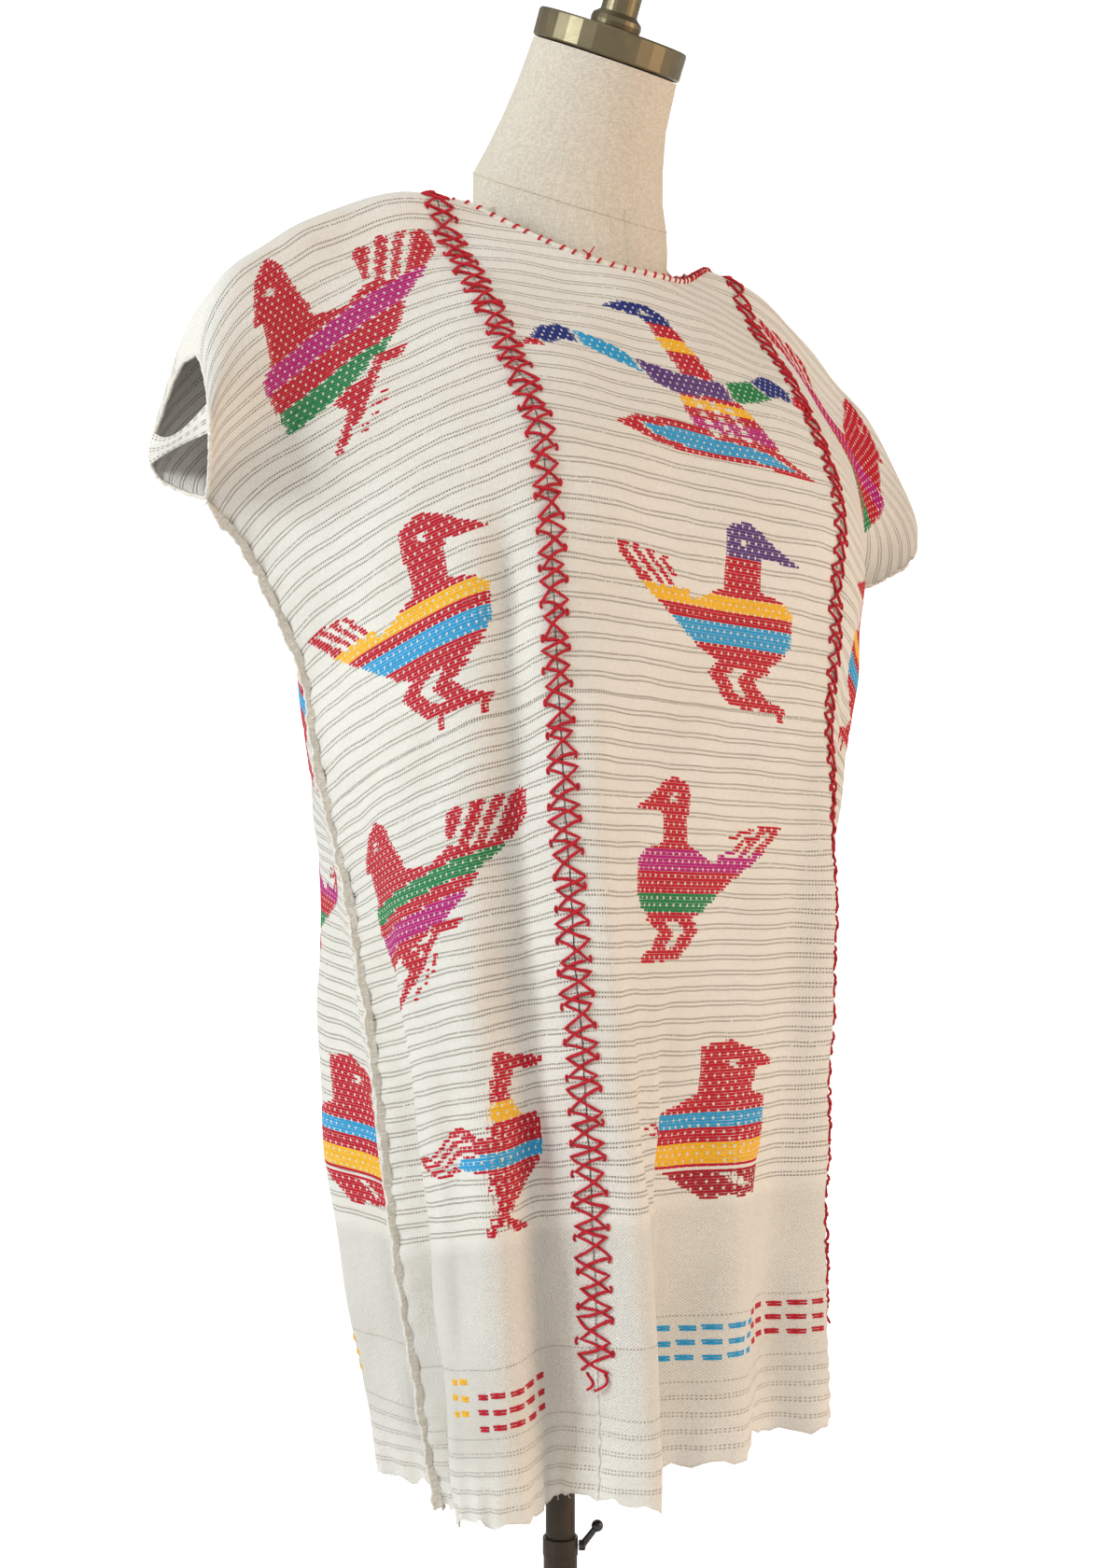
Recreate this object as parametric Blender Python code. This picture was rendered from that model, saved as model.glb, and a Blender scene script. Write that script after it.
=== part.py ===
"""Huipil blouse of three hand-woven panels, worn on a limbless dress form on a stand.

Metres, +Z up, origin on the floor at the pole's axis. The front of the form faces -Y and the
wearer's right is at -X. A point of cloth is named by s, its distance across from the middle of
the centre panel, and v, its distance down from the shoulder fold: v > 0 is the front, v < 0 the
back.
"""
import math

import bmesh
import bpy
import numpy as np
from mathutils import Matrix, Vector

# ------------------------------------------------------------------ cloth sizes
CLOTH = 0.0016            # thickness of a panel
GAP = 0.0003              # between pieces that meet
RANDA = 0.135             # s of the lattice seams, half the centre panel's width
RANDA_HALF = 0.008        # half the width of the lattice
RANDA_THICK = 0.0014
RANDA_LIFT = 0.0012      # above the panels' outer face
ARM = 0.255               # s of the middle of a side panel
SIDE = 0.375              # s of the selvedge and side seam
LENGTH = 0.925            # shoulder fold to hem
UNDERARM = 0.15           # v where the side seam starts, half the sleeve opening
SLEEVE_GAPE = 0.045       # how far each layer stands off the middle of the sleeve opening
EYE_ROW = 0.88            # height that the z column below is counted from

NECK_HALF = 0.124         # s of the ends of the neck opening
NECK_FRONT = 0.049        # scoop of the front and of the back of the neck
NECK_BACK = 0.034
NECK_END = 0.010          # rounding of the opening's ends
ROLL = 0.0017             # radius of the rolled neck edge

SEAM_FIN = 0.008          # how far the side seam's selvedges stand out
SEAM_THICK = 0.0022

# One row for each level down the garment: v, height z over EYE_ROW, how far forward (-y) the
# middle of the front lies, the two lattice seams' plan places (x outward), and the back's depth.
LEVEL_COLUMNS = ("v", "z", "mid_y", "right_x", "right_y", "left_x", "left_y", "back_y", "spine_y")
LEVELS = (
    (0.000, 0.502, -.030, .135, -.030, .135, -.030, -.030, -.030),
    (0.012, 0.499, -.048, .135, -.041, .135, -.041, -.019, 0.056),
    (0.041, 0.471, -.084, .135, -.056, .135, -.056, 0.004, 0.070),
    (0.077, 0.441, -.106, .135, -.078, .135, -.078, 0.032, 0.080),
    (0.116, 0.410, -.122, .135, -.103, .135, -.102, 0.058, 0.089),
    (0.159, 0.375, -.138, .135, -.129, .136, -.125, 0.078, 0.098),
    (0.195, 0.345, -.150, .134, -.147, .138, -.140, 0.090, 0.104),
    (0.232, 0.313, -.160, .133, -.163, .140, -.150, 0.093, 0.109),
    (0.270, 0.276, -.166, .131, -.170, .141, -.154, 0.095, 0.111),
    (0.320, 0.226, -.168, .129, -.172, .141, -.149, 0.095, 0.111),
    (0.437, 0.109, -.164, .124, -.174, .144, -.135, 0.093, 0.108),
    (0.555, -.009, -.156, .113, -.170, .149, -.124, 0.093, 0.108),
    (0.675, -.129, -.148, .100, -.165, .154, -.113, 0.096, 0.112),
    (0.800, -.254, -.142, .090, -.158, .160, -.104, 0.092, 0.110),
    (0.925, -.379, -.138, .085, -.152, .165, -.103, 0.082, 0.102),
)
# The same for the side panels: plan places of the seam and of the middles of front and back.
SIDE_COLUMNS = ("v", "seam_x", "seam_y", "front_x", "front_y", "back_x", "back_y")
RIGHT_SIDE = (
    (0.00, .310, -.030, .2435, -.030, .2435, -.030),
    (0.08, .312, -.020, .240, -.062, .238, 0.002),
    (0.15, .289, -.008, .230, -.085, .225, 0.030),
    (0.20, .258, -.004, .218, -.096, .208, 0.045),
    (0.25, .235, -.002, .207, -.102, .197, 0.052),
    (0.31, .210, 0.000, .196, -.106, .187, 0.056),
    (0.37, .203, -.004, .191, -.108, .182, 0.056),
    (0.43, .193, -.014, .187, -.109, .178, 0.053),
    (0.52, .186, -.030, .182, -.110, .174, 0.050),
    (0.62, .178, -.042, .174, -.112, .174, 0.046),
    (0.75, .166, -.050, .162, -.112, .162, 0.036),
    (0.925, .138, -.056, .146, -.112, .138, 0.020),
)
LEFT_SIDE = (
    (0.00, .310, -.030, .2435, -.030, .2435, -.030),
    (0.08, .313, -.020, .240, -.062, .238, 0.002),
    (0.15, .290, -.008, .232, -.085, .225, 0.030),
    (0.20, .264, -.004, .222, -.096, .212, 0.045),
    (0.25, .248, -.002, .213, -.101, .205, 0.054),
    (0.31, .238, 0.000, .207, -.101, .200, 0.058),
    (0.37, .234, 0.000, .204, -.096, .198, 0.060),
    (0.43, .232, 0.000, .202, -.086, .196, 0.060),
    (0.52, .230, 0.000, .200, -.072, .196, 0.062),
    (0.62, .229, 0.002, .199, -.062, .196, 0.064),
    (0.75, .228, 0.004, .199, -.058, .194, 0.066),
    (0.925, .228, 0.006, .202, -.056, .190, 0.066),
)
# How far the weave's rows hang below the middle: along the shoulder fold, and down the side seam.
FOLD_DROP_COLUMNS = ("s", "drop")
FOLD_DROP = (
    (0.000, 0.000), (0.135, 0.002), (0.170, 0.008), (0.205, 0.024), (0.240, 0.042),
    (0.276, 0.063), (0.304, 0.082), (0.343, 0.117), (0.375, 0.146),
)
SEAM_DROP_COLUMNS = ("v", "drop")
SEAM_DROP = (
    (0.00, 0.146), (0.08, 0.124), (0.15, 0.101), (0.22, 0.088), (0.30, 0.073),
    (0.42, 0.066), (0.52, 0.045), (0.70, 0.032), (0.925, 0.022),
)
FOLD_SETTLE = 0.20        # v by which the shoulder fold's drop has become the seam's
SEAM_EASE = 0.035         # from the side seam, where the folds reach their full height
# The folds: layer (1 front, -1 back), place, width, height (+ ridge, - trough), sideways lean,
# and the v where each starts and is full.
FOLD_COLUMNS = ("layer", "s", "width", "height", "lean", "start", "full")
FOLDS = (
    (1, -.172, .017, -.013, .000, .22, .34),
    (1, -.186, .020, -.012, .000, .36, .52),
    (1, -.148, .012, -.006, .000, .32, .50),
    (1, -.158, .012, -.008, .000, .60, .90),
    (1, -.212, .026, 0.014, .000, .46, .85),
    (1, -.258, .030, 0.018, .000, .56, .92),
    (1, -.330, .034, -.016, .000, .44, .72),
    (1, -.112, .030, 0.014, .000, .26, .70),
    (1, -.092, .030, 0.022, .006, .60, .95),
    (1, -.008, .026, -.024, .000, .54, .95),
    (1, 0.046, .026, 0.014, .004, .48, .92),
    (1, 0.086, .022, -.018, .000, .62, .95),
    (1, 0.122, .018, 0.016, .000, .34, .56),
    (1, 0.190, .026, -.022, .000, .30, .62),
    (1, 0.245, .026, 0.014, .000, .36, .74),
    (1, 0.305, .026, -.020, .000, .34, .70),
    (-1, -.320, .026, -.016, .000, .40, .70),
    (-1, -.250, .028, 0.010, .000, .42, .80),
    (-1, -.190, .026, -.022, .000, .36, .72),
    (-1, -.115, .030, 0.012, .000, .44, .80),
    (-1, -.045, .026, -.020, .000, .46, .86),
    (-1, 0.025, .030, 0.014, .000, .40, .84),
    (-1, 0.095, .026, -.022, .000, .38, .80),
    (-1, 0.165, .028, 0.012, .000, .42, .82),
    (-1, 0.235, .028, -.026, .000, .34, .66),
    (-1, 0.310, .030, 0.012, .000, .44, .84),
)

# Grid of the panels: rows down each layer, and columns across, from the middle outward.
ROWS = (0, .012, .034, .064, .100, .150, .185, .220, .260, .305, .355,
        .410, .470, .530, .590, .650, .710, .770, .850, LENGTH)
CENTRE_COLUMNS = (0, .019, .038, .057, .075, .092, .106, .116, .1215, NECK_HALF,
                  RANDA - RANDA_HALF, RANDA - GAP / 2)
SIDE_PANEL_COLUMNS = (RANDA + GAP / 2, RANDA + RANDA_HALF, .160, .177, .194, .212, .230,
                      .249, .268, .287, .306, .325, .343, .359, SIDE)

# ------------------------------------------------------------------ dress form and stand sizes
# Rings of the torso and neck: centre y and z, forward tilt, half width, half depth and exponent
# of the body, and the radius of the neck that it swells round.
RING_COLUMNS = ("y", "z", "tilt", "wide", "deep", "power", "neck")
FORM_RINGS = (
    (-.026, 0.668, 0, .118, .072, 2.4, .05),
    (-.026, 0.672, 0, .134, .084, 2.4, .05),
    (-.026, 0.685, 0, .146, .093, 2.4, .05),
    (-.027, 0.735, 0, .156, .101, 2.4, .05),
    (-.028, 0.790, 0, .153, .100, 2.4, .05),
    (-.030, 0.850, 0, .138, .091, 2.3, .05),
    (-.032, 0.910, 0, .124, .084, 2.2, .05),
    (-.034, 0.970, 0, .125, .090, 2.2, .05),
    (-.036, 1.030, 0, .136, .104, 2.4, .05),
    (-.036, 1.080, 0, .147, .117, 2.6, .05),
    (-.035, 1.115, 0, .152, .121, 2.6, .05),
    (-.031, 1.150, 0, .158, .116, 2.5, .05),
    (-.026, 1.190, 0, .167, .104, 2.3, .06),
    (-.022, 1.230, 0, .176, .090, 2.1, .07),
    (-.020, 1.268, 2, .184, .074, 1.9, .076),
    (-.019, 1.300, 4, .187, .058, 1.7, .078),
    (-.018, 1.326, 7, .185, .042, 1.5, .076),
    (-.016, 1.345, 10, .174, .030, 1.35, .0735),
    (-.015, 1.358, 13, .152, .024, 1.2, .0725),
    (-.014, 1.369, 16, .124, .020, 1.2, .0725),
    (-.013, 1.381, 19, .096, .020, 1.2, .0735),
    (-.013, 1.396, 23, .060, .030, 1.5, .0745),
    (-.013, 1.415, 28, .050, .030, 2.0, .0750),
    (-.019, 1.432, 29, .040, .030, 2.0, .0685),
    (-.028, 1.452, 29, .040, .030, 2.0, .0625),
    (-.040, 1.476, 30, .040, .030, 2.0, .0570),
    (-.0565, 1.5035, 30, .040, .030, 2.0, .0540),
)
FORM_SIDES = 36
SWELL = 7                 # how tightly the body and the neck blend, a power mean
CAP_TILT = 30             # forward tilt of the neck and its cap, degrees
CAP_RADIUS = 0.0556
CAP_THICK = 0.019
CAP_BEVEL = 0.0012
CAP_FOOT = (0.0, -.0570, 1.5045)     # middle of the cap's underside

POLE_RADIUS = 0.0127      # outer tube, 1 inch
POLE_BORE = 0.0116
POLE_TOP = 0.416
POLE_FOOT = 0.0225        # bottom of the outer tube, in the base's socket
MAST_RADIUS = 0.0111      # inner tube
MAST_BORE = 0.0096
MAST_FOOT = 0.200
SOCKET_TOP = 0.6675       # top of the form's socket, under the torso
SOCKET_BORE = 0.01115     # running clearance on the mast
SOCKET_LONG = 0.044
FLANGE_RADIUS = 0.036
FLANGE_THICK = 0.004
BASE_RADIUS = 0.165
LEVER_TURN = -35.5        # heading of the clamp screw, degrees from +X
LEVER_Z = 0.409
LEVER_ROD = 0.0028
LEVER_BALL = 0.0046
SIDES = 32                # round pieces

CREAM = (0.86, 0.80, 0.69)
RED = (0.55, 0.02, 0.05)
LINEN = (0.72, 0.66, 0.56)
BRONZE = (0.16, 0.125, 0.07)
BLACK = (0.01, 0.01, 0.011)


# ------------------------------------------------------------------ the cloth's form
def column(table, columns, name):
    """One named column of a table, as an array."""
    return np.array([row[columns.index(name)] for row in table], dtype=float)


def curve(x, places, values, flat_start=False):
    """A smooth curve through the values, with the slopes of its neighbours."""
    slopes = np.gradient(values, places)
    slopes[1:-1] = (values[2:] - values[:-2]) / (places[2:] - places[:-2])
    if flat_start:
        slopes[0] = 0
    i = np.clip(np.searchsorted(places, x, side="right") - 1, 0, len(places) - 2)
    step = places[i + 1] - places[i]
    u = np.clip((x - places[i]) / step, 0, 1)
    ease = u * u * (3 - 2 * u)
    return ((1 - ease) * values[i] + ease * values[i + 1]
            + (u**3 - 2 * u**2 + u) * step * slopes[i] + (u**3 - u**2) * step * slopes[i + 1])


def smooth_step(low, high, x):
    """0 below low, 1 above high, with a soft change between."""
    u = np.clip((x - low) / (high - low), 0, 1)
    return u * u * (3 - 2 * u)


def level(name, v):
    """A column of LEVELS at v."""
    return curve(v, column(LEVELS, LEVEL_COLUMNS, "v"), column(LEVELS, LEVEL_COLUMNS, name),
                 flat_start=(name == "z"))


def flank(table, name, v):
    """A column of a side table at v."""
    return curve(v, column(table, SIDE_COLUMNS, "v"), column(table, SIDE_COLUMNS, name))


def plan(s, v):
    """Plan place of cloth points: a closed curve through twelve anchors at each level."""
    depth = np.abs(v)
    front = v >= 0
    back_x = 0.5 * (level("right_x", depth) + 0.95 * RANDA)
    back_left_x = 0.5 * (level("left_x", depth) + 0.95 * RANDA)
    nothing = np.zeros_like(depth)
    xs = (-flank(RIGHT_SIDE, "seam_x", depth), -flank(RIGHT_SIDE, "front_x", depth),
          -level("right_x", depth), nothing, level("left_x", depth),
          flank(LEFT_SIDE, "front_x", depth), flank(LEFT_SIDE, "seam_x", depth),
          flank(LEFT_SIDE, "back_x", depth), back_left_x, nothing, -back_x,
          -flank(RIGHT_SIDE, "back_x", depth))
    ys = (flank(RIGHT_SIDE, "seam_y", depth), flank(RIGHT_SIDE, "front_y", depth),
          level("right_y", depth), level("mid_y", depth), level("left_y", depth),
          flank(LEFT_SIDE, "front_y", depth), flank(LEFT_SIDE, "seam_y", depth),
          flank(LEFT_SIDE, "back_y", depth), level("back_y", depth), level("spine_y", depth),
          level("back_y", depth), flank(RIGHT_SIDE, "back_y", depth))
    half = (-SIDE, -ARM, -RANDA, 0, RANDA, ARM)
    girth = np.array(half + tuple(2 * SIDE + g for g in half) + (3 * SIDE,))
    around = np.where(front, s, 2 * SIDE - s)
    gape = SLEEVE_GAPE * np.sin(math.pi * np.clip(depth / UNDERARM, 0, 1)) ** 0.8
    x, y = np.zeros_like(around), np.zeros_like(around)
    count = 12
    span = np.clip(np.searchsorted(girth, around, side="right") - 1, 0, count - 1)
    for k in range(count):
        here = span == k
        if not here.any():
            continue
        places = [girth[j % count] + 4 * SIDE * (j // count) for j in (k - 1, k, k + 1, k + 2)]
        step = places[2] - places[1]
        u = (around[here] - places[1]) / step
        ease = u * u * (3 - 2 * u)
        for out, anchors, shift in ((x, xs, 0), (y, ys, -1 if k < 6 else 1)):
            p = [anchors[j % count][here] + (shift * gape[here] if j % count in (0, 6) else 0)
                 for j in (k - 1, k, k + 1, k + 2)]
            first = (p[2] - p[0]) / (places[2] - places[0])
            last = (p[3] - p[1]) / (places[3] - places[1])
            out[here] = ((1 - ease) * p[1] + ease * p[2]
                         + (u**3 - 2 * u**2 + u) * step * first + (u**3 - u**2) * step * last)
    return x, y


def cloth(s, v):
    """World places of cloth points, as an array of x, y, z."""
    s, v = np.broadcast_arrays(np.asarray(s, dtype=float), np.asarray(v, dtype=float))
    shape = s.shape
    s, v = s.ravel(), v.ravel()
    depth = np.abs(v)
    x, y = plan(s, v)
    small = 1e-4
    ahead, behind = plan(s + small, v), plan(s - small, v)
    along_x, along_y = ahead[0] - behind[0], ahead[1] - behind[1]
    size = np.hypot(along_x, along_y) + 1e-12
    along_x, along_y = along_x / size, along_y / size
    layer = np.where(v >= 0, 1, -1)
    height, lean = np.zeros_like(s), np.zeros_like(s)
    for row in FOLDS:
        fold = dict(zip(FOLD_COLUMNS, row))
        share = (np.exp(-((s - fold["s"]) / fold["width"]) ** 2) * (layer == fold["layer"])
                 * smooth_step(fold["start"], fold["full"], depth)
                 * smooth_step(0, SEAM_EASE, SIDE - np.abs(s)))
        height += fold["height"] * share
        lean += fold["lean"] * share
    x = x + layer * along_y * height + along_x * lean
    y = y - layer * along_x * height + along_y * lean
    out = np.abs(s)
    fold_drop = curve(out, column(FOLD_DROP, FOLD_DROP_COLUMNS, "s"),
                      column(FOLD_DROP, FOLD_DROP_COLUMNS, "drop"))
    seam_drop = curve(depth, column(SEAM_DROP, SEAM_DROP_COLUMNS, "v"),
                      column(SEAM_DROP, SEAM_DROP_COLUMNS, "drop"))
    seam_drop = seam_drop * np.clip((out - RANDA) / (SIDE - RANDA), 0, None)
    settled = smooth_step(0, FOLD_SETTLE, depth)
    z = EYE_ROW + level("z", depth) - fold_drop * (1 - settled) - seam_drop * settled
    return np.stack([x, y, z], axis=-1).reshape(shape + (3,))


def outward(s, v):
    """Unit normals of the cloth, pointing away from the form."""
    small = 4e-4
    across = cloth(s + small, v) - cloth(s - small, v)
    down = cloth(s, v + small) - cloth(s, v - small)
    normal = np.cross(down, across)
    return normal / (np.linalg.norm(normal, axis=-1, keepdims=True) + 1e-12)


def seam_outward(s, v):
    """Normals at the side seam, the mean of those of the two layers that meet there."""
    inset = 0.004 * np.sign(s)
    normal = outward(s - inset, v) + outward(s - inset, -v)
    return normal / np.linalg.norm(normal, axis=-1, keepdims=True)


def neck_edge_v(s, scoop):
    """How far below the shoulder fold the neck is cut at s."""
    rise = math.sqrt(max(0.0, 1 - (s / NECK_HALF) ** 2))
    return scoop * rise**3 + NECK_END * rise


# ------------------------------------------------------------------ building
def material(name, colour, roughness, metallic=0.0):
    """A plain Principled material."""
    made = bpy.data.materials.new(name)
    made.use_nodes = True
    shader = made.node_tree.nodes["Principled BSDF"]
    shader.inputs["Base Color"].default_value = (*colour, 1)
    shader.inputs["Roughness"].default_value = roughness
    shader.inputs["Metallic"].default_value = metallic
    return made


def add_object(name, mesh, finish, smooth_angle=40):
    """Links a mesh as a named object in one material."""
    mesh.materials.append(finish)
    mesh.shade_smooth()
    mesh.set_sharp_from_angle(angle=math.radians(smooth_angle))
    made = bpy.data.objects.new(name, mesh)
    bpy.context.scene.collection.objects.link(made)
    return made


def wall(name, places, normals, faces, thickness, lift, finish):
    """A closed wall: faces on the raised side, the same under it, and a rim round every edge."""
    count = len(places)
    top = places + normals * (lift + thickness)
    under = places + normals * lift
    solid = [tuple(face) for face in faces]
    solid += [tuple(count + k for k in reversed(face)) for face in faces]
    edges = {(face[i], face[(i + 1) % len(face)]) for face in faces for i in range(len(face))}
    for a, b in sorted(edges):
        if (b, a) not in edges:
            solid.append((b, a, count + a, count + b))
    mesh = bpy.data.meshes.new(name)
    mesh.from_pydata(np.vstack([top, under]).tolist(), [], solid)
    mesh.validate()
    return add_object(name, mesh, finish)


def welded_grid(grid):
    """Numbers the points of a grid of (s, v), those that are one point once, and its faces."""
    index, points, rows = {}, [], []
    for line in grid:
        row = []
        for s, v in line:
            sewn = abs(abs(s) - SIDE) < 1e-6 and abs(v) >= UNDERARM - 1e-6
            key = (round(s, 6), round(abs(v) if sewn else v, 6), sewn)
            if key not in index:
                index[key] = len(points)
                points.append((s, v, sewn))
            row.append(index[key])
        rows.append(row)
    return points, rows


def panel(name, bands, finish):
    """A panel from bands of rows of (s, v), each row from the wearer's right to the left."""
    lines = [line for band in bands for line in band]
    points, rows = welded_grid(lines)
    faces, start = [], 0
    for band in bands:
        for j in range(start, start + len(band) - 1):
            for i in range(len(rows[j]) - 1):
                loop = (rows[j][i], rows[j + 1][i], rows[j + 1][i + 1], rows[j][i + 1])
                loop = tuple(k for n, k in enumerate(loop) if k != loop[n - 1])
                faces.append(loop)
        start += len(band)
    s = np.array([p[0] for p in points])
    v = np.array([p[1] for p in points])
    sewn = np.array([p[2] for p in points])
    beside_seam = np.abs(np.abs(s) - RANDA) < 2 * GAP
    normals = outward(np.where(beside_seam, np.sign(s) * RANDA, s), v)
    if sewn.any():
        normals[sewn] = seam_outward(s[sewn], np.abs(v[sewn]))
    return wall(name, cloth(s, v), normals, faces, CLOTH, -CLOTH / 2, finish)


def side_panel(name, sign, finish):
    """A side panel, folded over the shoulder and sewn to itself down the side."""
    columns = sorted(sign * s for s in SIDE_PANEL_COLUMNS)
    down = [-v for v in reversed(ROWS)] + list(ROWS[1:])
    return panel(name, [[[(s, v) for s in columns] for v in down]], finish)


def centre_panel(finish):
    """The centre panel: front and back bands that meet beside the neck opening."""
    columns = [-s for s in reversed(CENTRE_COLUMNS)] + list(CENTRE_COLUMNS[1:])

    def line(share, scoop, layer):
        edge = [neck_edge_v(s, scoop) if abs(s) < NECK_HALF else 0 for s in columns]
        return [(s, layer * (e + (LENGTH - e) * share)) for s, e in zip(columns, edge)]

    shares = [v / LENGTH for v in ROWS]
    back = [line(share, NECK_BACK, -1) for share in reversed(shares)]
    front = [line(share, NECK_FRONT, 1) for share in shares]
    return panel("panel_centre", [back, front], finish)


def neck_edge(finish):
    """The rolled edge: a closed cord just inside the neck opening."""
    inner = [s for s in CENTRE_COLUMNS if s <= NECK_HALF]
    across = [-s for s in reversed(inner)] + inner[1:]
    loop = [(s, neck_edge_v(s, NECK_FRONT)) for s in across]
    loop += [(s, -neck_edge_v(s, NECK_BACK)) for s in reversed(across[1:-1])]
    away = ROLL + 0.0009
    path = []
    for k, (s, v) in enumerate(loop):
        before = np.subtract((s, v), loop[k - 1])
        after = np.subtract(loop[(k + 1) % len(loop)], (s, v))
        sides = [np.array((d[1], -d[0])) / np.hypot(*d) for d in (before, after)]
        mean = sides[0] + sides[1]
        mean /= np.linalg.norm(mean)
        path.append(np.array((s, v)) + mean * away / max(0.35, float(mean @ sides[0])))
    path = np.array([p for p in path if abs(p[0]) < NECK_HALF - 0.0055])
    spots = cloth(path[:, 0], path[:, 1])
    ups = outward(path[:, 0], path[:, 1])
    sides_round, verts, faces = 8, [], []
    for k in range(len(spots)):
        along = spots[(k + 1) % len(spots)] - spots[k - 1]
        along /= np.linalg.norm(along)
        side = np.cross(along, ups[k])
        side /= np.linalg.norm(side)
        up = np.cross(side, along)
        for j in range(sides_round):
            turn = 2 * math.pi * j / sides_round
            verts.append(spots[k] + ROLL * (math.cos(turn) * side + math.sin(turn) * up))
    count = len(spots)
    for k in range(count):
        for j in range(sides_round):
            a, b = k * sides_round, ((k + 1) % count) * sides_round
            n = (j + 1) % sides_round
            faces.append((a + j, a + n, b + n, b + j))
    mesh = bpy.data.meshes.new("neck_edge")
    mesh.from_pydata([tuple(p) for p in verts], [], faces)
    tidy = bmesh.new()
    tidy.from_mesh(mesh)
    bmesh.ops.recalc_face_normals(tidy, faces=tidy.faces)
    tidy.to_mesh(mesh)
    tidy.free()
    return add_object("neck_edge", mesh, finish, 80)


def randa(name, sign, finish):
    """A lattice seam: a thin strip over the edges of two panels, from hem over to hem."""
    across = sorted(sign * s for s in (RANDA - RANDA_HALF, RANDA, RANDA + RANDA_HALF))
    down = [-v for v in reversed(ROWS[:-1])] + list(ROWS[1:-1])
    grid_s, grid_v = np.meshgrid(across, down)
    s, v = grid_s.ravel(), grid_v.ravel()
    faces = []
    for j in range(len(down) - 1):
        for i in range(2):
            a = j * 3 + i
            faces.append((a, a + 3, a + 4, a + 1))
    return wall(name, cloth(s, v), outward(s, v), faces, RANDA_THICK, CLOTH / 2 + RANDA_LIFT, finish)


def side_seam(name, sign, finish):
    """The turned-out selvedges below the underarm: a fin along the side seam."""
    down = np.array([v for v in ROWS if v > UNDERARM])
    edge = cloth(np.full_like(down, sign * SIDE), down)
    out = seam_outward(np.full_like(down, sign * SIDE), down)
    along = np.gradient(edge, axis=0)
    along /= np.linalg.norm(along, axis=1, keepdims=True)
    flat = np.cross(along, out)
    flat /= np.linalg.norm(flat, axis=1, keepdims=True)
    near, far = CLOTH / 2 + GAP, CLOTH / 2 + GAP + SEAM_FIN
    half = flat * SEAM_THICK / 2
    rings = [edge + out * near - half, edge + out * far - half,
             edge + out * far + half, edge + out * near + half]
    count = len(down)
    verts = np.vstack(rings)
    faces = [tuple(k * count for k in range(4)),
             tuple(k * count + count - 1 for k in reversed(range(4)))]
    for j in range(count - 1):
        for k in range(4):
            a, b = k * count + j, ((k + 1) % 4) * count + j
            faces.append((a, a + 1, b + 1, b))
    mesh = bpy.data.meshes.new(name)
    mesh.from_pydata(verts.tolist(), [], faces)
    tidy = bmesh.new()
    tidy.from_mesh(mesh)
    bmesh.ops.recalc_face_normals(tidy, faces=tidy.faces)
    tidy.to_mesh(mesh)
    tidy.free()
    return add_object(name, mesh, finish)


def torso(finish):
    """The dress form: rings from the closed bottom to the top of the neck."""
    body = bmesh.new()
    rings = []
    for row in FORM_RINGS:
        ring = dict(zip(RING_COLUMNS, row))
        tilt = Matrix.Rotation(math.radians(ring["tilt"]), 3, "X")
        verts = []
        for k in range(FORM_SIDES):
            turn = 2 * math.pi * k / FORM_SIDES
            c, d = math.cos(turn), math.sin(turn)
            power = ring["power"]
            shell = (abs(c) / ring["wide"]) ** power + (abs(d) / ring["deep"]) ** power
            radius = shell ** (-1 / power)
            radius = (radius**SWELL + ring["neck"] ** SWELL) ** (1 / SWELL)
            spot = tilt @ Vector((radius * c, radius * d, 0))
            verts.append(body.verts.new((spot.x, spot.y + ring["y"], spot.z + ring["z"])))
        rings.append(verts)
    for low, high in zip(rings, rings[1:]):
        for k in range(FORM_SIDES):
            n = (k + 1) % FORM_SIDES
            body.faces.new((low[k], low[n], high[n], high[k]))
    body.faces.new(list(reversed(rings[0])))
    body.faces.new(rings[-1])
    mesh = bpy.data.meshes.new("form_torso")
    body.to_mesh(mesh)
    body.free()
    return add_object("form_torso", mesh, finish, 50)


def turned(name, profile, finish, place=None, closed=False, sides=SIDES):
    """A turned piece: a profile of (radius, height), spun about Z and put in place."""
    lathe = bmesh.new()
    verts = [lathe.verts.new((r, 0, z)) for r, z in profile]
    edges = [lathe.edges.new((a, b)) for a, b in zip(verts, verts[1:])]
    if closed:
        edges.append(lathe.edges.new((verts[-1], verts[0])))
    bmesh.ops.spin(lathe, geom=verts + edges, cent=(0, 0, 0), axis=(0, 0, 1),
                   angle=2 * math.pi, steps=sides, use_duplicate=False)
    bmesh.ops.remove_doubles(lathe, verts=lathe.verts, dist=1e-5)
    bmesh.ops.recalc_face_normals(lathe, faces=lathe.faces)
    if place is not None:
        bmesh.ops.transform(lathe, matrix=place, verts=lathe.verts)
    mesh = bpy.data.meshes.new(name)
    lathe.to_mesh(mesh)
    lathe.free()
    return add_object(name, mesh, finish)


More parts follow.
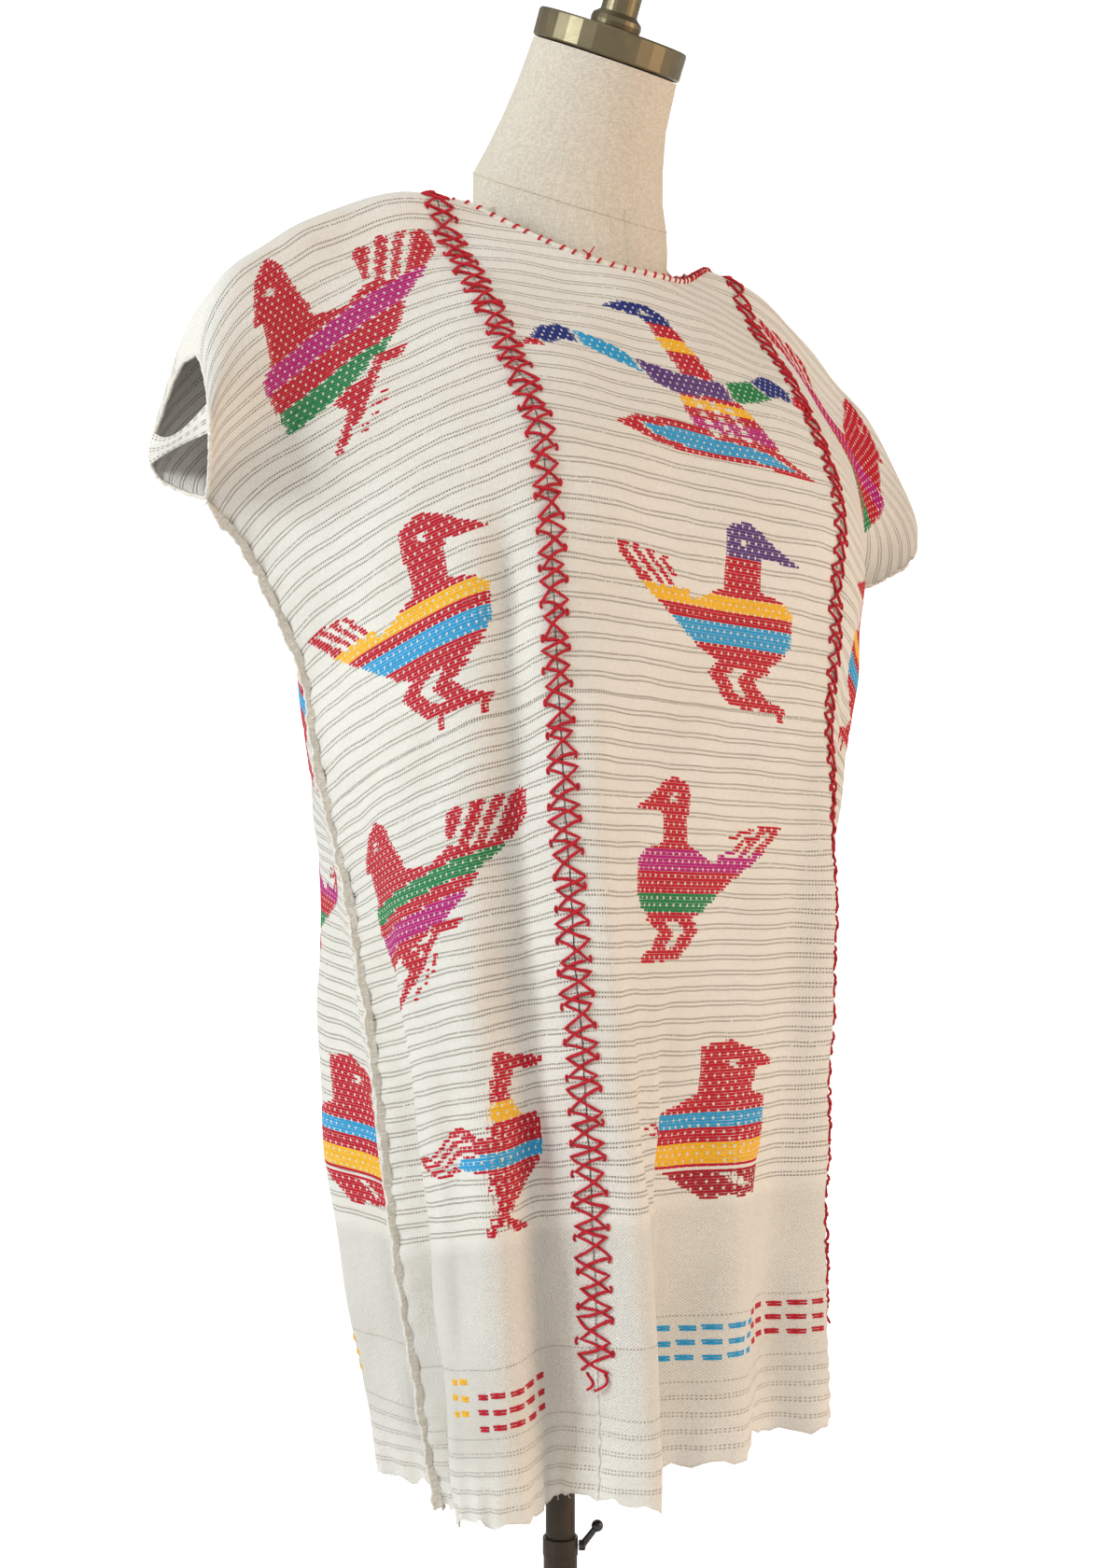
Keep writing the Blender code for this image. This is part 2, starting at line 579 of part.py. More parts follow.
def cap_and_finial(finish):
    """The neck cap and the turned finial on it, both tilted with the neck."""
    place = (Matrix.Translation(CAP_FOOT) @ Matrix.Rotation(math.radians(CAP_TILT), 4, "X"))
    b = CAP_BEVEL
    turned("neck_cap", [(0, 0), (CAP_RADIUS - b, 0), (CAP_RADIUS, b), (CAP_RADIUS, CAP_THICK - b),
                        (CAP_RADIUS - b, CAP_THICK), (0, CAP_THICK)], finish, place)
    ball, ball_z = 0.0205, 0.060
    profile = [(0, GAP), (0.0172, GAP), (0.0184, 0.0022), (0.0188, 0.0052), (0.0180, 0.0082),
               (0.0152, 0.0102), (0.0136, 0.0116), (0.0134, 0.0270), (0.0150, 0.0290),
               (0.0156, 0.0312), (0.0150, 0.0334), (0.0118, 0.0352), (0.0108, 0.0400)]
    start = math.asin(0.0108 / ball)
    rounds = 9
    for k in range(1, rounds + 1):
        turn = start + (math.pi - start) * k / rounds
        profile.append((max(0.0, ball * math.sin(turn)), ball_z - ball * math.cos(turn)))
    up = place @ Matrix.Translation((0, 0, CAP_THICK))
    turned("finial", profile, finish, up)


def stand(bronze, black):
    """Base, outer tube, mast, socket and clamp lever."""
    turned("stand_base", [(0, 0), (BASE_RADIUS - .002, 0), (BASE_RADIUS, .002),
                          (BASE_RADIUS, .009), (BASE_RADIUS - .004, .0125), (.120, .0150),
                          (.060, .0185), (.034, .0240), (.0260, .0330), (.0220, .0480),
                          (.0200, .0500), (POLE_RADIUS + GAP, .0500),
                          (POLE_RADIUS + GAP, POLE_FOOT - GAP), (0, POLE_FOOT - GAP)],
           bronze, sides=48)
    lip = 0.0006
    turned("outer_tube", [(POLE_BORE, POLE_FOOT), (POLE_RADIUS, POLE_FOOT),
                          (POLE_RADIUS, POLE_TOP - .014), (POLE_RADIUS + lip, POLE_TOP - .0135),
                          (POLE_RADIUS + lip, POLE_TOP - .0006), (POLE_RADIUS, POLE_TOP),
                          (POLE_BORE, POLE_TOP)], bronze, closed=True)
    mast_top = SOCKET_TOP - FLANGE_THICK - .0005
    turned("mast", [(MAST_BORE, MAST_FOOT), (MAST_RADIUS - .0006, MAST_FOOT),
                    (MAST_RADIUS, MAST_FOOT + .0006), (MAST_RADIUS, mast_top),
                    (MAST_BORE, mast_top)], bronze, closed=True)
    low = SOCKET_TOP - SOCKET_LONG
    turned("form_socket", [(SOCKET_BORE, low), (.0148, low), (.0155, low + .001),
                           (.0155, SOCKET_TOP - FLANGE_THICK - .004),
                           (.0175, SOCKET_TOP - FLANGE_THICK),
                           (FLANGE_RADIUS, SOCKET_TOP - FLANGE_THICK),
                           (FLANGE_RADIUS, SOCKET_TOP), (0, SOCKET_TOP),
                           (0, SOCKET_TOP - FLANGE_THICK + .0005),
                           (SOCKET_BORE, SOCKET_TOP - FLANGE_THICK + .0005)], bronze, closed=True)
    clamp_lever(black)


def clamp_lever(finish):
    """The clamp screw: a hub on a radial axis, with a bent rod and a ball."""
    hub_out = POLE_RADIUS + .0006 + GAP
    hub_long = 0.0052
    heading = Matrix.Rotation(math.radians(LEVER_TURN), 4, "Z")
    seat = (Matrix.Translation((0, 0, LEVER_Z)) @ heading
            @ Matrix.Translation((hub_out + .0002, 0, 0)) @ Matrix.Rotation(math.pi / 2, 4, "Y"))
    hub = turned("clamp_lever", [(0, 0), (.0036, 0), (.0040, .0005), (.0040, hub_long - .0008),
                                 (.0030, hub_long), (0, hub_long)], finish, sides=20)
    rise = math.radians(52)
    rod_long = 0.0148
    lean = Matrix.Translation((0, 0, hub_long - .0026)) @ Matrix.Rotation(rise, 4, "Y").inverted()
    profile = [(0, -.0012), (LEVER_ROD, -.0012), (LEVER_ROD * .86, rod_long)]
    ball_z = rod_long + LEVER_BALL * .8
    start = math.asin(LEVER_ROD * .86 / LEVER_BALL)
    for k in range(1, 9):
        turn = start + (math.pi - start) * k / 8
        profile.append((max(0.0, LEVER_BALL * math.sin(turn)), ball_z - LEVER_BALL * math.cos(turn)))
    arm = turned("lever_arm", profile, finish, lean, sides=20)
    union = hub.modifiers.new("arm", "BOOLEAN")
    union.operation = "UNION"
    union.object = arm
    arm.hide_render = True
    arm.display_type = "WIRE"
    for piece in (hub, arm):
        piece.matrix_world = seat


def main():
    """Builds every piece."""
    for old in list(bpy.data.objects):
        bpy.data.objects.remove(old, do_unlink=True)
    cream = material("cream cotton", CREAM, 0.9)
    red = material("red thread", RED, 0.85)
    linen = material("linen", LINEN, 0.9)
    bronze = material("antique bronze", BRONZE, 0.35, 1.0)
    black = material("black enamel", BLACK, 0.25)
    centre_panel(cream)
    side_panel("panel_right", -1, cream)
    side_panel("panel_left", 1, cream)
    neck_edge(cream)
    randa("randa_right", -1, red)
    randa("randa_left", 1, red)
    side_seam("side_seam_right", -1, cream)
    side_seam("side_seam_left", 1, cream)
    torso(linen)
    cap_and_finial(bronze)
    stand(bronze, black)


main()
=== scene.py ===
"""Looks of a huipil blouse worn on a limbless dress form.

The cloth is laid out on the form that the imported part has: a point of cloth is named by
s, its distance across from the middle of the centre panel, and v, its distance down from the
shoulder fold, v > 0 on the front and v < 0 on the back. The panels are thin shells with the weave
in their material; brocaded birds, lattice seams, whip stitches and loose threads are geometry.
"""
from __future__ import annotations

import logging
import math
from dataclasses import dataclass, field
from enum import Enum
from typing import Iterable, Sequence

import bpy
import numpy as np
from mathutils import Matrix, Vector
from mathutils.bvhtree import BVHTree


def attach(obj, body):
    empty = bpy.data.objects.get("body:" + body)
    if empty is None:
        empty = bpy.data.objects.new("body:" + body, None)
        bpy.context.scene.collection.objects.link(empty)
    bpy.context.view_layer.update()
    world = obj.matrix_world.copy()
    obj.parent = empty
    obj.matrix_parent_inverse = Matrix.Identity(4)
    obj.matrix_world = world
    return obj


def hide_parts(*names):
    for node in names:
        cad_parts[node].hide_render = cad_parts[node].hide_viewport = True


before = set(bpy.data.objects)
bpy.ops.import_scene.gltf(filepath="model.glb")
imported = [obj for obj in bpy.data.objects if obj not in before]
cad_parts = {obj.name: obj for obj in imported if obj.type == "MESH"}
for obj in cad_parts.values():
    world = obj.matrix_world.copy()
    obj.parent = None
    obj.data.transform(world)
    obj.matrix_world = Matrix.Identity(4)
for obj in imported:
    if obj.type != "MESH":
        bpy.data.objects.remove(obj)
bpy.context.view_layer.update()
LOG = logging.getLogger("huipil")

Colour = tuple[float, float, float]
Places = np.ndarray

# ------------------------------------------------------------------ cloth sizes, metres
RANDA = 0.135             # s of the lattice seams
ARM = 0.255
SIDE = 0.375              # s of the selvedges and side seams
LENGTH = 0.925            # shoulder fold to hem
UNDERARM = 0.15
SLEEVE_GAPE = 0.045
EYE_ROW = 0.88
NECK_HALF = 0.124
NECK_FRONT = 0.049
NECK_BACK = 0.034
NECK_END = 0.010
SHELL = 0.0008            # thickness of the panels' shells
RANDA_END = 0.838         # v at which the lattice stitching stops

# One row for each level down the garment: v, height z over EYE_ROW, how far forward (-y) the
# middle of the front lies, the two lattice seams' plan places (x outward), and the back's depth.
LEVEL_COLUMNS = ("v", "z", "mid_y", "right_x", "right_y", "left_x", "left_y", "back_y", "spine_y")
LEVELS = (
    (0.000, 0.502, -.030, .135, -.030, .135, -.030, -.030, -.030),
    (0.012, 0.499, -.048, .135, -.041, .135, -.041, -.019, 0.056),
    (0.041, 0.471, -.084, .135, -.056, .135, -.056, 0.004, 0.070),
    (0.077, 0.441, -.106, .135, -.078, .135, -.078, 0.032, 0.080),
    (0.116, 0.410, -.122, .135, -.103, .135, -.102, 0.058, 0.089),
    (0.159, 0.375, -.138, .135, -.129, .136, -.125, 0.078, 0.098),
    (0.195, 0.345, -.150, .134, -.147, .138, -.140, 0.090, 0.104),
    (0.232, 0.313, -.160, .133, -.163, .140, -.150, 0.093, 0.109),
    (0.270, 0.276, -.166, .131, -.170, .141, -.154, 0.095, 0.111),
    (0.320, 0.226, -.168, .129, -.172, .141, -.149, 0.095, 0.111),
    (0.437, 0.109, -.164, .124, -.174, .144, -.135, 0.093, 0.108),
    (0.555, -.009, -.156, .113, -.170, .149, -.124, 0.093, 0.108),
    (0.675, -.129, -.148, .100, -.165, .154, -.113, 0.096, 0.112),
    (0.800, -.254, -.142, .090, -.158, .160, -.104, 0.092, 0.110),
    (0.925, -.379, -.138, .085, -.152, .165, -.103, 0.082, 0.102),
)
# The same for the side panels: plan places of the seam and of the middles of front and back.
SIDE_COLUMNS = ("v", "seam_x", "seam_y", "front_x", "front_y", "back_x", "back_y")
RIGHT_SIDE = (
    (0.00, .310, -.030, .2435, -.030, .2435, -.030),
    (0.08, .312, -.020, .240, -.062, .238, 0.002),
    (0.15, .289, -.008, .230, -.085, .225, 0.030),
    (0.20, .258, -.004, .218, -.096, .208, 0.045),
    (0.25, .235, -.002, .207, -.102, .197, 0.052),
    (0.31, .210, 0.000, .196, -.106, .187, 0.056),
    (0.37, .203, -.004, .191, -.108, .182, 0.056),
    (0.43, .193, -.014, .187, -.109, .178, 0.053),
    (0.52, .186, -.030, .182, -.110, .174, 0.050),
    (0.62, .178, -.042, .174, -.112, .174, 0.046),
    (0.75, .166, -.050, .162, -.112, .162, 0.036),
    (0.925, .138, -.056, .146, -.112, .138, 0.020),
)
LEFT_SIDE = (
    (0.00, .310, -.030, .2435, -.030, .2435, -.030),
    (0.08, .313, -.020, .240, -.062, .238, 0.002),
    (0.15, .290, -.008, .232, -.085, .225, 0.030),
    (0.20, .264, -.004, .222, -.096, .212, 0.045),
    (0.25, .248, -.002, .213, -.101, .205, 0.054),
    (0.31, .238, 0.000, .207, -.101, .200, 0.058),
    (0.37, .234, 0.000, .204, -.096, .198, 0.060),
    (0.43, .232, 0.000, .202, -.086, .196, 0.060),
    (0.52, .230, 0.000, .200, -.072, .196, 0.062),
    (0.62, .229, 0.002, .199, -.062, .196, 0.064),
    (0.75, .228, 0.004, .199, -.058, .194, 0.066),
    (0.925, .228, 0.006, .202, -.056, .190, 0.066),
)
# How far the weave's rows hang below the middle: along the shoulder fold, and down the side seam.
FOLD_DROP_COLUMNS = ("s", "drop")
FOLD_DROP = (
    (0.000, 0.000), (0.135, 0.002), (0.170, 0.008), (0.205, 0.024), (0.240, 0.042),
    (0.276, 0.063), (0.304, 0.082), (0.343, 0.117), (0.375, 0.146),
)
SEAM_DROP_COLUMNS = ("v", "drop")
SEAM_DROP = (
    (0.00, 0.146), (0.08, 0.124), (0.15, 0.101), (0.22, 0.088), (0.30, 0.073),
    (0.42, 0.066), (0.52, 0.045), (0.70, 0.032), (0.925, 0.022),
)
FOLD_SETTLE = 0.20        # v by which the shoulder fold's drop has become the seam's
SEAM_EASE = 0.035         # from the side seam, where the folds reach their full height
# The folds: layer (1 front, -1 back), place, width, height (+ ridge, - trough), sideways lean,
# and the v where each starts and is full.
FOLD_COLUMNS = ("layer", "s", "width", "height", "lean", "start", "full")
FOLDS = (
    (1, -.172, .017, -.013, .000, .22, .34),
    (1, -.186, .020, -.012, .000, .36, .52),
    (1, -.148, .012, -.006, .000, .32, .50),
    (1, -.158, .012, -.008, .000, .60, .90),
    (1, -.212, .026, 0.014, .000, .46, .85),
    (1, -.258, .030, 0.018, .000, .56, .92),
    (1, -.330, .034, -.016, .000, .44, .72),
    (1, -.112, .030, 0.014, .000, .26, .70),
    (1, -.092, .030, 0.022, .006, .60, .95),
    (1, -.008, .026, -.024, .000, .54, .95),
    (1, 0.046, .026, 0.014, .004, .48, .92),
    (1, 0.086, .022, -.018, .000, .62, .95),
    (1, 0.122, .018, 0.016, .000, .34, .56),
    (1, 0.190, .026, -.022, .000, .30, .62),
    (1, 0.245, .026, 0.014, .000, .36, .74),
    (1, 0.305, .026, -.020, .000, .34, .70),
    (-1, -.320, .026, -.016, .000, .40, .70),
    (-1, -.250, .028, 0.010, .000, .42, .80),
    (-1, -.190, .026, -.022, .000, .36, .72),
    (-1, -.115, .030, 0.012, .000, .44, .80),
    (-1, -.045, .026, -.020, .000, .46, .86),
    (-1, 0.025, .030, 0.014, .000, .40, .84),
    (-1, 0.095, .026, -.022, .000, .38, .80),
    (-1, 0.165, .028, 0.012, .000, .42, .82),
    (-1, 0.235, .028, -.026, .000, .34, .66),
    (-1, 0.310, .030, 0.012, .000, .44, .84),
)


# ------------------------------------------------------------------ the cloth's form
def column(table, columns, name):
    """One named column of a table, as an array."""
    return np.array([row[columns.index(name)] for row in table], dtype=float)


def curve(x, places, values, flat_start=False):
    """A smooth curve through the values, with the slopes of its neighbours."""
    slopes = np.gradient(values, places)
    slopes[1:-1] = (values[2:] - values[:-2]) / (places[2:] - places[:-2])
    if flat_start:
        slopes[0] = 0
    i = np.clip(np.searchsorted(places, x, side="right") - 1, 0, len(places) - 2)
    step = places[i + 1] - places[i]
    u = np.clip((x - places[i]) / step, 0, 1)
    ease = u * u * (3 - 2 * u)
    return ((1 - ease) * values[i] + ease * values[i + 1]
            + (u**3 - 2 * u**2 + u) * step * slopes[i] + (u**3 - u**2) * step * slopes[i + 1])


def smooth_step(low, high, x):
    """0 below low, 1 above high, with a soft change between."""
    u = np.clip((x - low) / (high - low), 0, 1)
    return u * u * (3 - 2 * u)


def level(name, v):
    """A column of LEVELS at v."""
    return curve(v, column(LEVELS, LEVEL_COLUMNS, "v"), column(LEVELS, LEVEL_COLUMNS, name),
                 flat_start=(name == "z"))


def flank(table, name, v):
    """A column of a side table at v."""
    return curve(v, column(table, SIDE_COLUMNS, "v"), column(table, SIDE_COLUMNS, name))


def plan(s, v):
    """Plan place of cloth points: a closed curve through twelve anchors at each level."""
    depth = np.abs(v)
    front = v >= 0
    back_x = 0.5 * (level("right_x", depth) + 0.95 * RANDA)
    back_left_x = 0.5 * (level("left_x", depth) + 0.95 * RANDA)
    nothing = np.zeros_like(depth)
    xs = (-flank(RIGHT_SIDE, "seam_x", depth), -flank(RIGHT_SIDE, "front_x", depth),
          -level("right_x", depth), nothing, level("left_x", depth),
          flank(LEFT_SIDE, "front_x", depth), flank(LEFT_SIDE, "seam_x", depth),
          flank(LEFT_SIDE, "back_x", depth), back_left_x, nothing, -back_x,
          -flank(RIGHT_SIDE, "back_x", depth))
    ys = (flank(RIGHT_SIDE, "seam_y", depth), flank(RIGHT_SIDE, "front_y", depth),
          level("right_y", depth), level("mid_y", depth), level("left_y", depth),
          flank(LEFT_SIDE, "front_y", depth), flank(LEFT_SIDE, "seam_y", depth),
          flank(LEFT_SIDE, "back_y", depth), level("back_y", depth), level("spine_y", depth),
          level("back_y", depth), flank(RIGHT_SIDE, "back_y", depth))
    half = (-SIDE, -ARM, -RANDA, 0, RANDA, ARM)
    girth = np.array(half + tuple(2 * SIDE + g for g in half) + (3 * SIDE,))
    around = np.where(front, s, 2 * SIDE - s)
    gape = SLEEVE_GAPE * np.sin(math.pi * np.clip(depth / UNDERARM, 0, 1)) ** 0.8
    x, y = np.zeros_like(around), np.zeros_like(around)
    count = 12
    span = np.clip(np.searchsorted(girth, around, side="right") - 1, 0, count - 1)
    for k in range(count):
        here = span == k
        if not here.any():
            continue
        places = [girth[j % count] + 4 * SIDE * (j // count) for j in (k - 1, k, k + 1, k + 2)]
        step = places[2] - places[1]
        u = (around[here] - places[1]) / step
        ease = u * u * (3 - 2 * u)
        for out, anchors, shift in ((x, xs, 0), (y, ys, -1 if k < 6 else 1)):
            p = [anchors[j % count][here] + (shift * gape[here] if j % count in (0, 6) else 0)
                 for j in (k - 1, k, k + 1, k + 2)]
            first = (p[2] - p[0]) / (places[2] - places[0])
            last = (p[3] - p[1]) / (places[3] - places[1])
            out[here] = ((1 - ease) * p[1] + ease * p[2]
                         + (u**3 - 2 * u**2 + u) * step * first + (u**3 - u**2) * step * last)
    return x, y


def cloth(s, v):
    """World places of cloth points, as an array of x, y, z."""
    s, v = np.broadcast_arrays(np.asarray(s, dtype=float), np.asarray(v, dtype=float))
    shape = s.shape
    s, v = s.ravel(), v.ravel()
    depth = np.abs(v)
    x, y = plan(s, v)
    small = 1e-4
    ahead, behind = plan(s + small, v), plan(s - small, v)
    along_x, along_y = ahead[0] - behind[0], ahead[1] - behind[1]
    size = np.hypot(along_x, along_y) + 1e-12
    along_x, along_y = along_x / size, along_y / size
    layer = np.where(v >= 0, 1, -1)
    height, lean = np.zeros_like(s), np.zeros_like(s)
    for row in FOLDS:
        fold = dict(zip(FOLD_COLUMNS, row))
        share = (np.exp(-((s - fold["s"]) / fold["width"]) ** 2) * (layer == fold["layer"])
                 * smooth_step(fold["start"], fold["full"], depth)
                 * smooth_step(0, SEAM_EASE, SIDE - np.abs(s)))
        height += fold["height"] * share
        lean += fold["lean"] * share
    x = x + layer * along_y * height + along_x * lean
    y = y - layer * along_x * height + along_y * lean
    out = np.abs(s)
    fold_drop = curve(out, column(FOLD_DROP, FOLD_DROP_COLUMNS, "s"),
                      column(FOLD_DROP, FOLD_DROP_COLUMNS, "drop"))
    seam_drop = curve(depth, column(SEAM_DROP, SEAM_DROP_COLUMNS, "v"),
                      column(SEAM_DROP, SEAM_DROP_COLUMNS, "drop"))
    seam_drop = seam_drop * np.clip((out - RANDA) / (SIDE - RANDA), 0, None)
    settled = smooth_step(0, FOLD_SETTLE, depth)
    z = EYE_ROW + level("z", depth) - fold_drop * (1 - settled) - seam_drop * settled
    return np.stack([x, y, z], axis=-1).reshape(shape + (3,))


def outward(s, v):
    """Unit normals of the cloth, pointing away from the form."""
    small = 4e-4
    across = cloth(s + small, v) - cloth(s - small, v)
    down = cloth(s, v + small) - cloth(s, v - small)
    normal = np.cross(down, across)
    return normal / (np.linalg.norm(normal, axis=-1, keepdims=True) + 1e-12)


def seam_outward(s, v):
    """Normals at the side seam, the mean of those of the two layers that meet there."""
    inset = 0.004 * np.sign(s)
    normal = outward(s - inset, v) + outward(s - inset, -v)
    return normal / np.linalg.norm(normal, axis=-1, keepdims=True)


# ------------------------------------------------------------------ small relief
# The larger creases: layer, s, top, bottom, half width and height, all in metres.
CREASES = (
    (1, -0.162, 0.30, 0.62, 0.011, -0.0030), (1, -0.205, 0.60, 0.95, 0.017, 0.0055),
    (1, -0.252, 0.58, 0.90, 0.016, -0.0045), (1, -0.300, 0.50, 0.92, 0.014, 0.0040),
    (1, -0.104, 0.34, 0.95, 0.015, 0.0045), (1, -0.043, 0.56, 0.95, 0.012, 0.0048),
    (1, -0.018, 0.56, 0.95, 0.010, -0.0042), (1, 0.034, 0.60, 0.95, 0.015, 0.0046),
    (1, 0.063, 0.66, 0.95, 0.011, -0.0046), (1, 0.106, 0.45, 0.95, 0.013, 0.0036),
    (1, 0.180, 0.42, 0.95, 0.015, 0.0050), (1, 0.236, 0.55, 0.95, 0.016, -0.0045),
    (1, 0.300, 0.50, 0.92, 0.015, 0.0042),
    (-1, -0.310, 0.50, 0.92, 0.016, 0.0044), (-1, -0.246, 0.56, 0.95, 0.015, -0.0042),
    (-1, -0.190, 0.44, 0.95, 0.016, 0.0050), (-1, -0.095, 0.40, 0.95, 0.014, 0.0046),
    (-1, -0.052, 0.58, 0.95, 0.012, -0.0042), (-1, 0.012, 0.50, 0.95, 0.015, 0.0050),
    (-1, 0.078, 0.56, 0.95, 0.012, -0.0042), (-1, 0.165, 0.40, 0.95, 0.013, 0.0040),
    (-1, 0.218, 0.55, 0.95, 0.016, 0.0050), (-1, 0.286, 0.52, 0.92, 0.015, -0.0042),
)


def relief(s: Places, v: Places) -> Places:
    """Height of creases and puckers that are too small for the main form.

    Args:
        s: Distances across.
        v: Distances down, negative on the back.

    Returns:
        Heights along the outward normal.
    """
    depth = np.abs(v)
    turn = np.where(v < 0, 1.7, 0.0)
    soft = (0.0012 * np.sin(9.1 * s * 6 + 21 * v + turn) * np.sin(33 * v + 14 * s)
            + 0.0007 * np.sin(61 * s - 37 * v + 2 + turn) * np.sin(23 * v - 41 * s + 1))
    by_randa = np.exp(-((np.abs(s) - RANDA) / 0.013) ** 2)
    pucker = by_randa * (0.0007 * np.sin(2 * math.pi * v / 0.0142 + 3 * np.sin(9 * v)) - 0.0010)
    by_side = np.exp(-((SIDE - np.abs(s)) / 0.014) ** 2) * (depth > UNDERARM)
    pull = by_side * 0.0011 * np.sin(2 * math.pi * v / 0.021 + 2 * np.sin(13 * v))
    by_hem = smooth_step(LENGTH - 0.05, LENGTH, depth)
    curl = by_hem * 0.0016 * np.sin(2 * math.pi * s / 0.021 + 2.2 * np.sin(31 * s) + turn)
    for side, at, top, bottom, wide, rise in CREASES:
        along = smooth_step(top, top + 0.10, depth) * (1 - smooth_step(bottom, bottom + 0.06, depth))
        off = s - at - 0.004 * np.sin(17 * depth + at * 40)
        soft = soft + rise * along * np.exp(-(off / wide) ** 2) * (v * side > 0)
    lower = smooth_step(0.30, 0.50, depth)
    fold = 0.0012 * lower * np.sin(2 * math.pi * s / 0.074 + 3.5 * v + turn)
    drag = 0.0010 * smooth_step(.2, .3, depth) * np.sin(2 * math.pi * (depth + .6 * np.abs(s)) / 0.09)
    return soft + pucker + pull + curl + fold + drag * np.sin(31 * s + turn)


def above_hem(v: Places) -> Places:
    """v, kept just above the hem's line."""
    return np.clip(v, 0.002 - LENGTH, LENGTH - 0.002)


def facing(s: Places, v: Places) -> Places:
    """Unit normals, also for the frayed edge below the hem's line."""
    return outward(s, above_hem(v))


def laid(s: Places, v: Places, lift: float | Places = 0.0) -> Places:
    """World places on the cloth with its small relief, a height over its middle."""
    s, v = np.broadcast_arrays(np.asarray(s, dtype=float), np.asarray(v, dtype=float))
    out = np.asarray(relief(s, v) + lift)
    places = cloth(s, above_hem(v)) + facing(s, v) * out[..., None]
    places[..., 2] -= np.abs(v) - np.abs(above_hem(v))
    return places


def wobble(x: Places, seed: float, wave: float) -> Places:
    """A smooth uneven value between about -1 and 1 along x."""
    k = 2 * math.pi / wave
    return (np.sin(k * x + seed) + 0.6 * np.sin(2.3 * k * x + 2.1 * seed)
            + 0.4 * np.sin(4.7 * k * x + 3.7 * seed)) / 1.6


# ------------------------------------------------------------------ materials
class Graph:
    """Adds shader nodes to a tree and joins them."""

    def __init__(self, tree: bpy.types.NodeTree) -> None:
        """Keeps the tree that nodes go into."""
        self.tree = tree

    def node(self, kind: str, **settings: object) -> bpy.types.Node:
        """Adds a node, with its properties set."""
        made = self.tree.nodes.new(kind)
        for name, value in settings.items():
            setattr(made, name, value)
        return made

    def join(self, value: object, socket: bpy.types.NodeSocket) -> None:
        """Puts a socket or a constant into an input."""
        if isinstance(value, bpy.types.NodeSocket):
            self.tree.links.new(value, socket)
        else:
            socket.default_value = value

    def math(self, operation: str, *values: object) -> bpy.types.NodeSocket:
        """A math node's result."""
        made = self.node("ShaderNodeMath", operation=operation)
        for socket, value in zip(made.inputs, values):
            self.join(value, socket)
        return made.outputs[0]

    def blend(self, share: object, first: object, second: object) -> bpy.types.NodeSocket:
        """A mix of two colours."""
        made = self.node("ShaderNodeMix", data_type="RGBA")
        self.join(share, made.inputs[0])
        self.join(first, made.inputs[6])
        self.join(second, made.inputs[7])
        return made.outputs[2]

    def ramp(self, value: object, low: float, high: float) -> bpy.types.NodeSocket:
        """0 at low, 1 at high, softly between."""
        made = self.node("ShaderNodeMapRange", interpolation_type="SMOOTHSTEP")
        self.join(value, made.inputs[0])
        made.inputs[1].default_value = low
        made.inputs[2].default_value = high
        return made.outputs[0]

    def noise(self, vector: object, scale: float, detail: float = 2.0) -> bpy.types.NodeSocket:
        """A noise texture's value."""
        made = self.node("ShaderNodeTexNoise")
        self.join(vector, made.inputs["Vector"])
        made.inputs["Scale"].default_value = scale
        made.inputs["Detail"].default_value = detail
        return made.outputs[0]

    def stretched(self, vector: object, scale: Sequence[float]) -> bpy.types.NodeSocket:
        """A vector scaled differently along each axis."""
        made = self.node("ShaderNodeMapping")
        self.join(vector, made.inputs[0])
        made.inputs["Scale"].default_value = scale
        return made.outputs[0]


def new_group(name: str, inputs: Sequence[tuple[str, str]], outputs: Sequence[tuple[str, str]]
              ) -> tuple[Graph, bpy.types.Node, bpy.types.Node]:
    """Starts a shader node group.

    Args:
        name: The group's name.
        inputs: Name and socket type of each input.
        outputs: Name and socket type of each output.

    Returns:
        The group's graph, its input node and its output node.
    """
    tree = bpy.data.node_groups.new(name, "ShaderNodeTree")
    for title, kind in inputs:
        tree.interface.new_socket(title, in_out="INPUT", socket_type=kind)
    for title, kind in outputs:
        tree.interface.new_socket(title, in_out="OUTPUT", socket_type=kind)
    graph = Graph(tree)
    return graph, graph.node("NodeGroupInput"), graph.node("NodeGroupOutput")


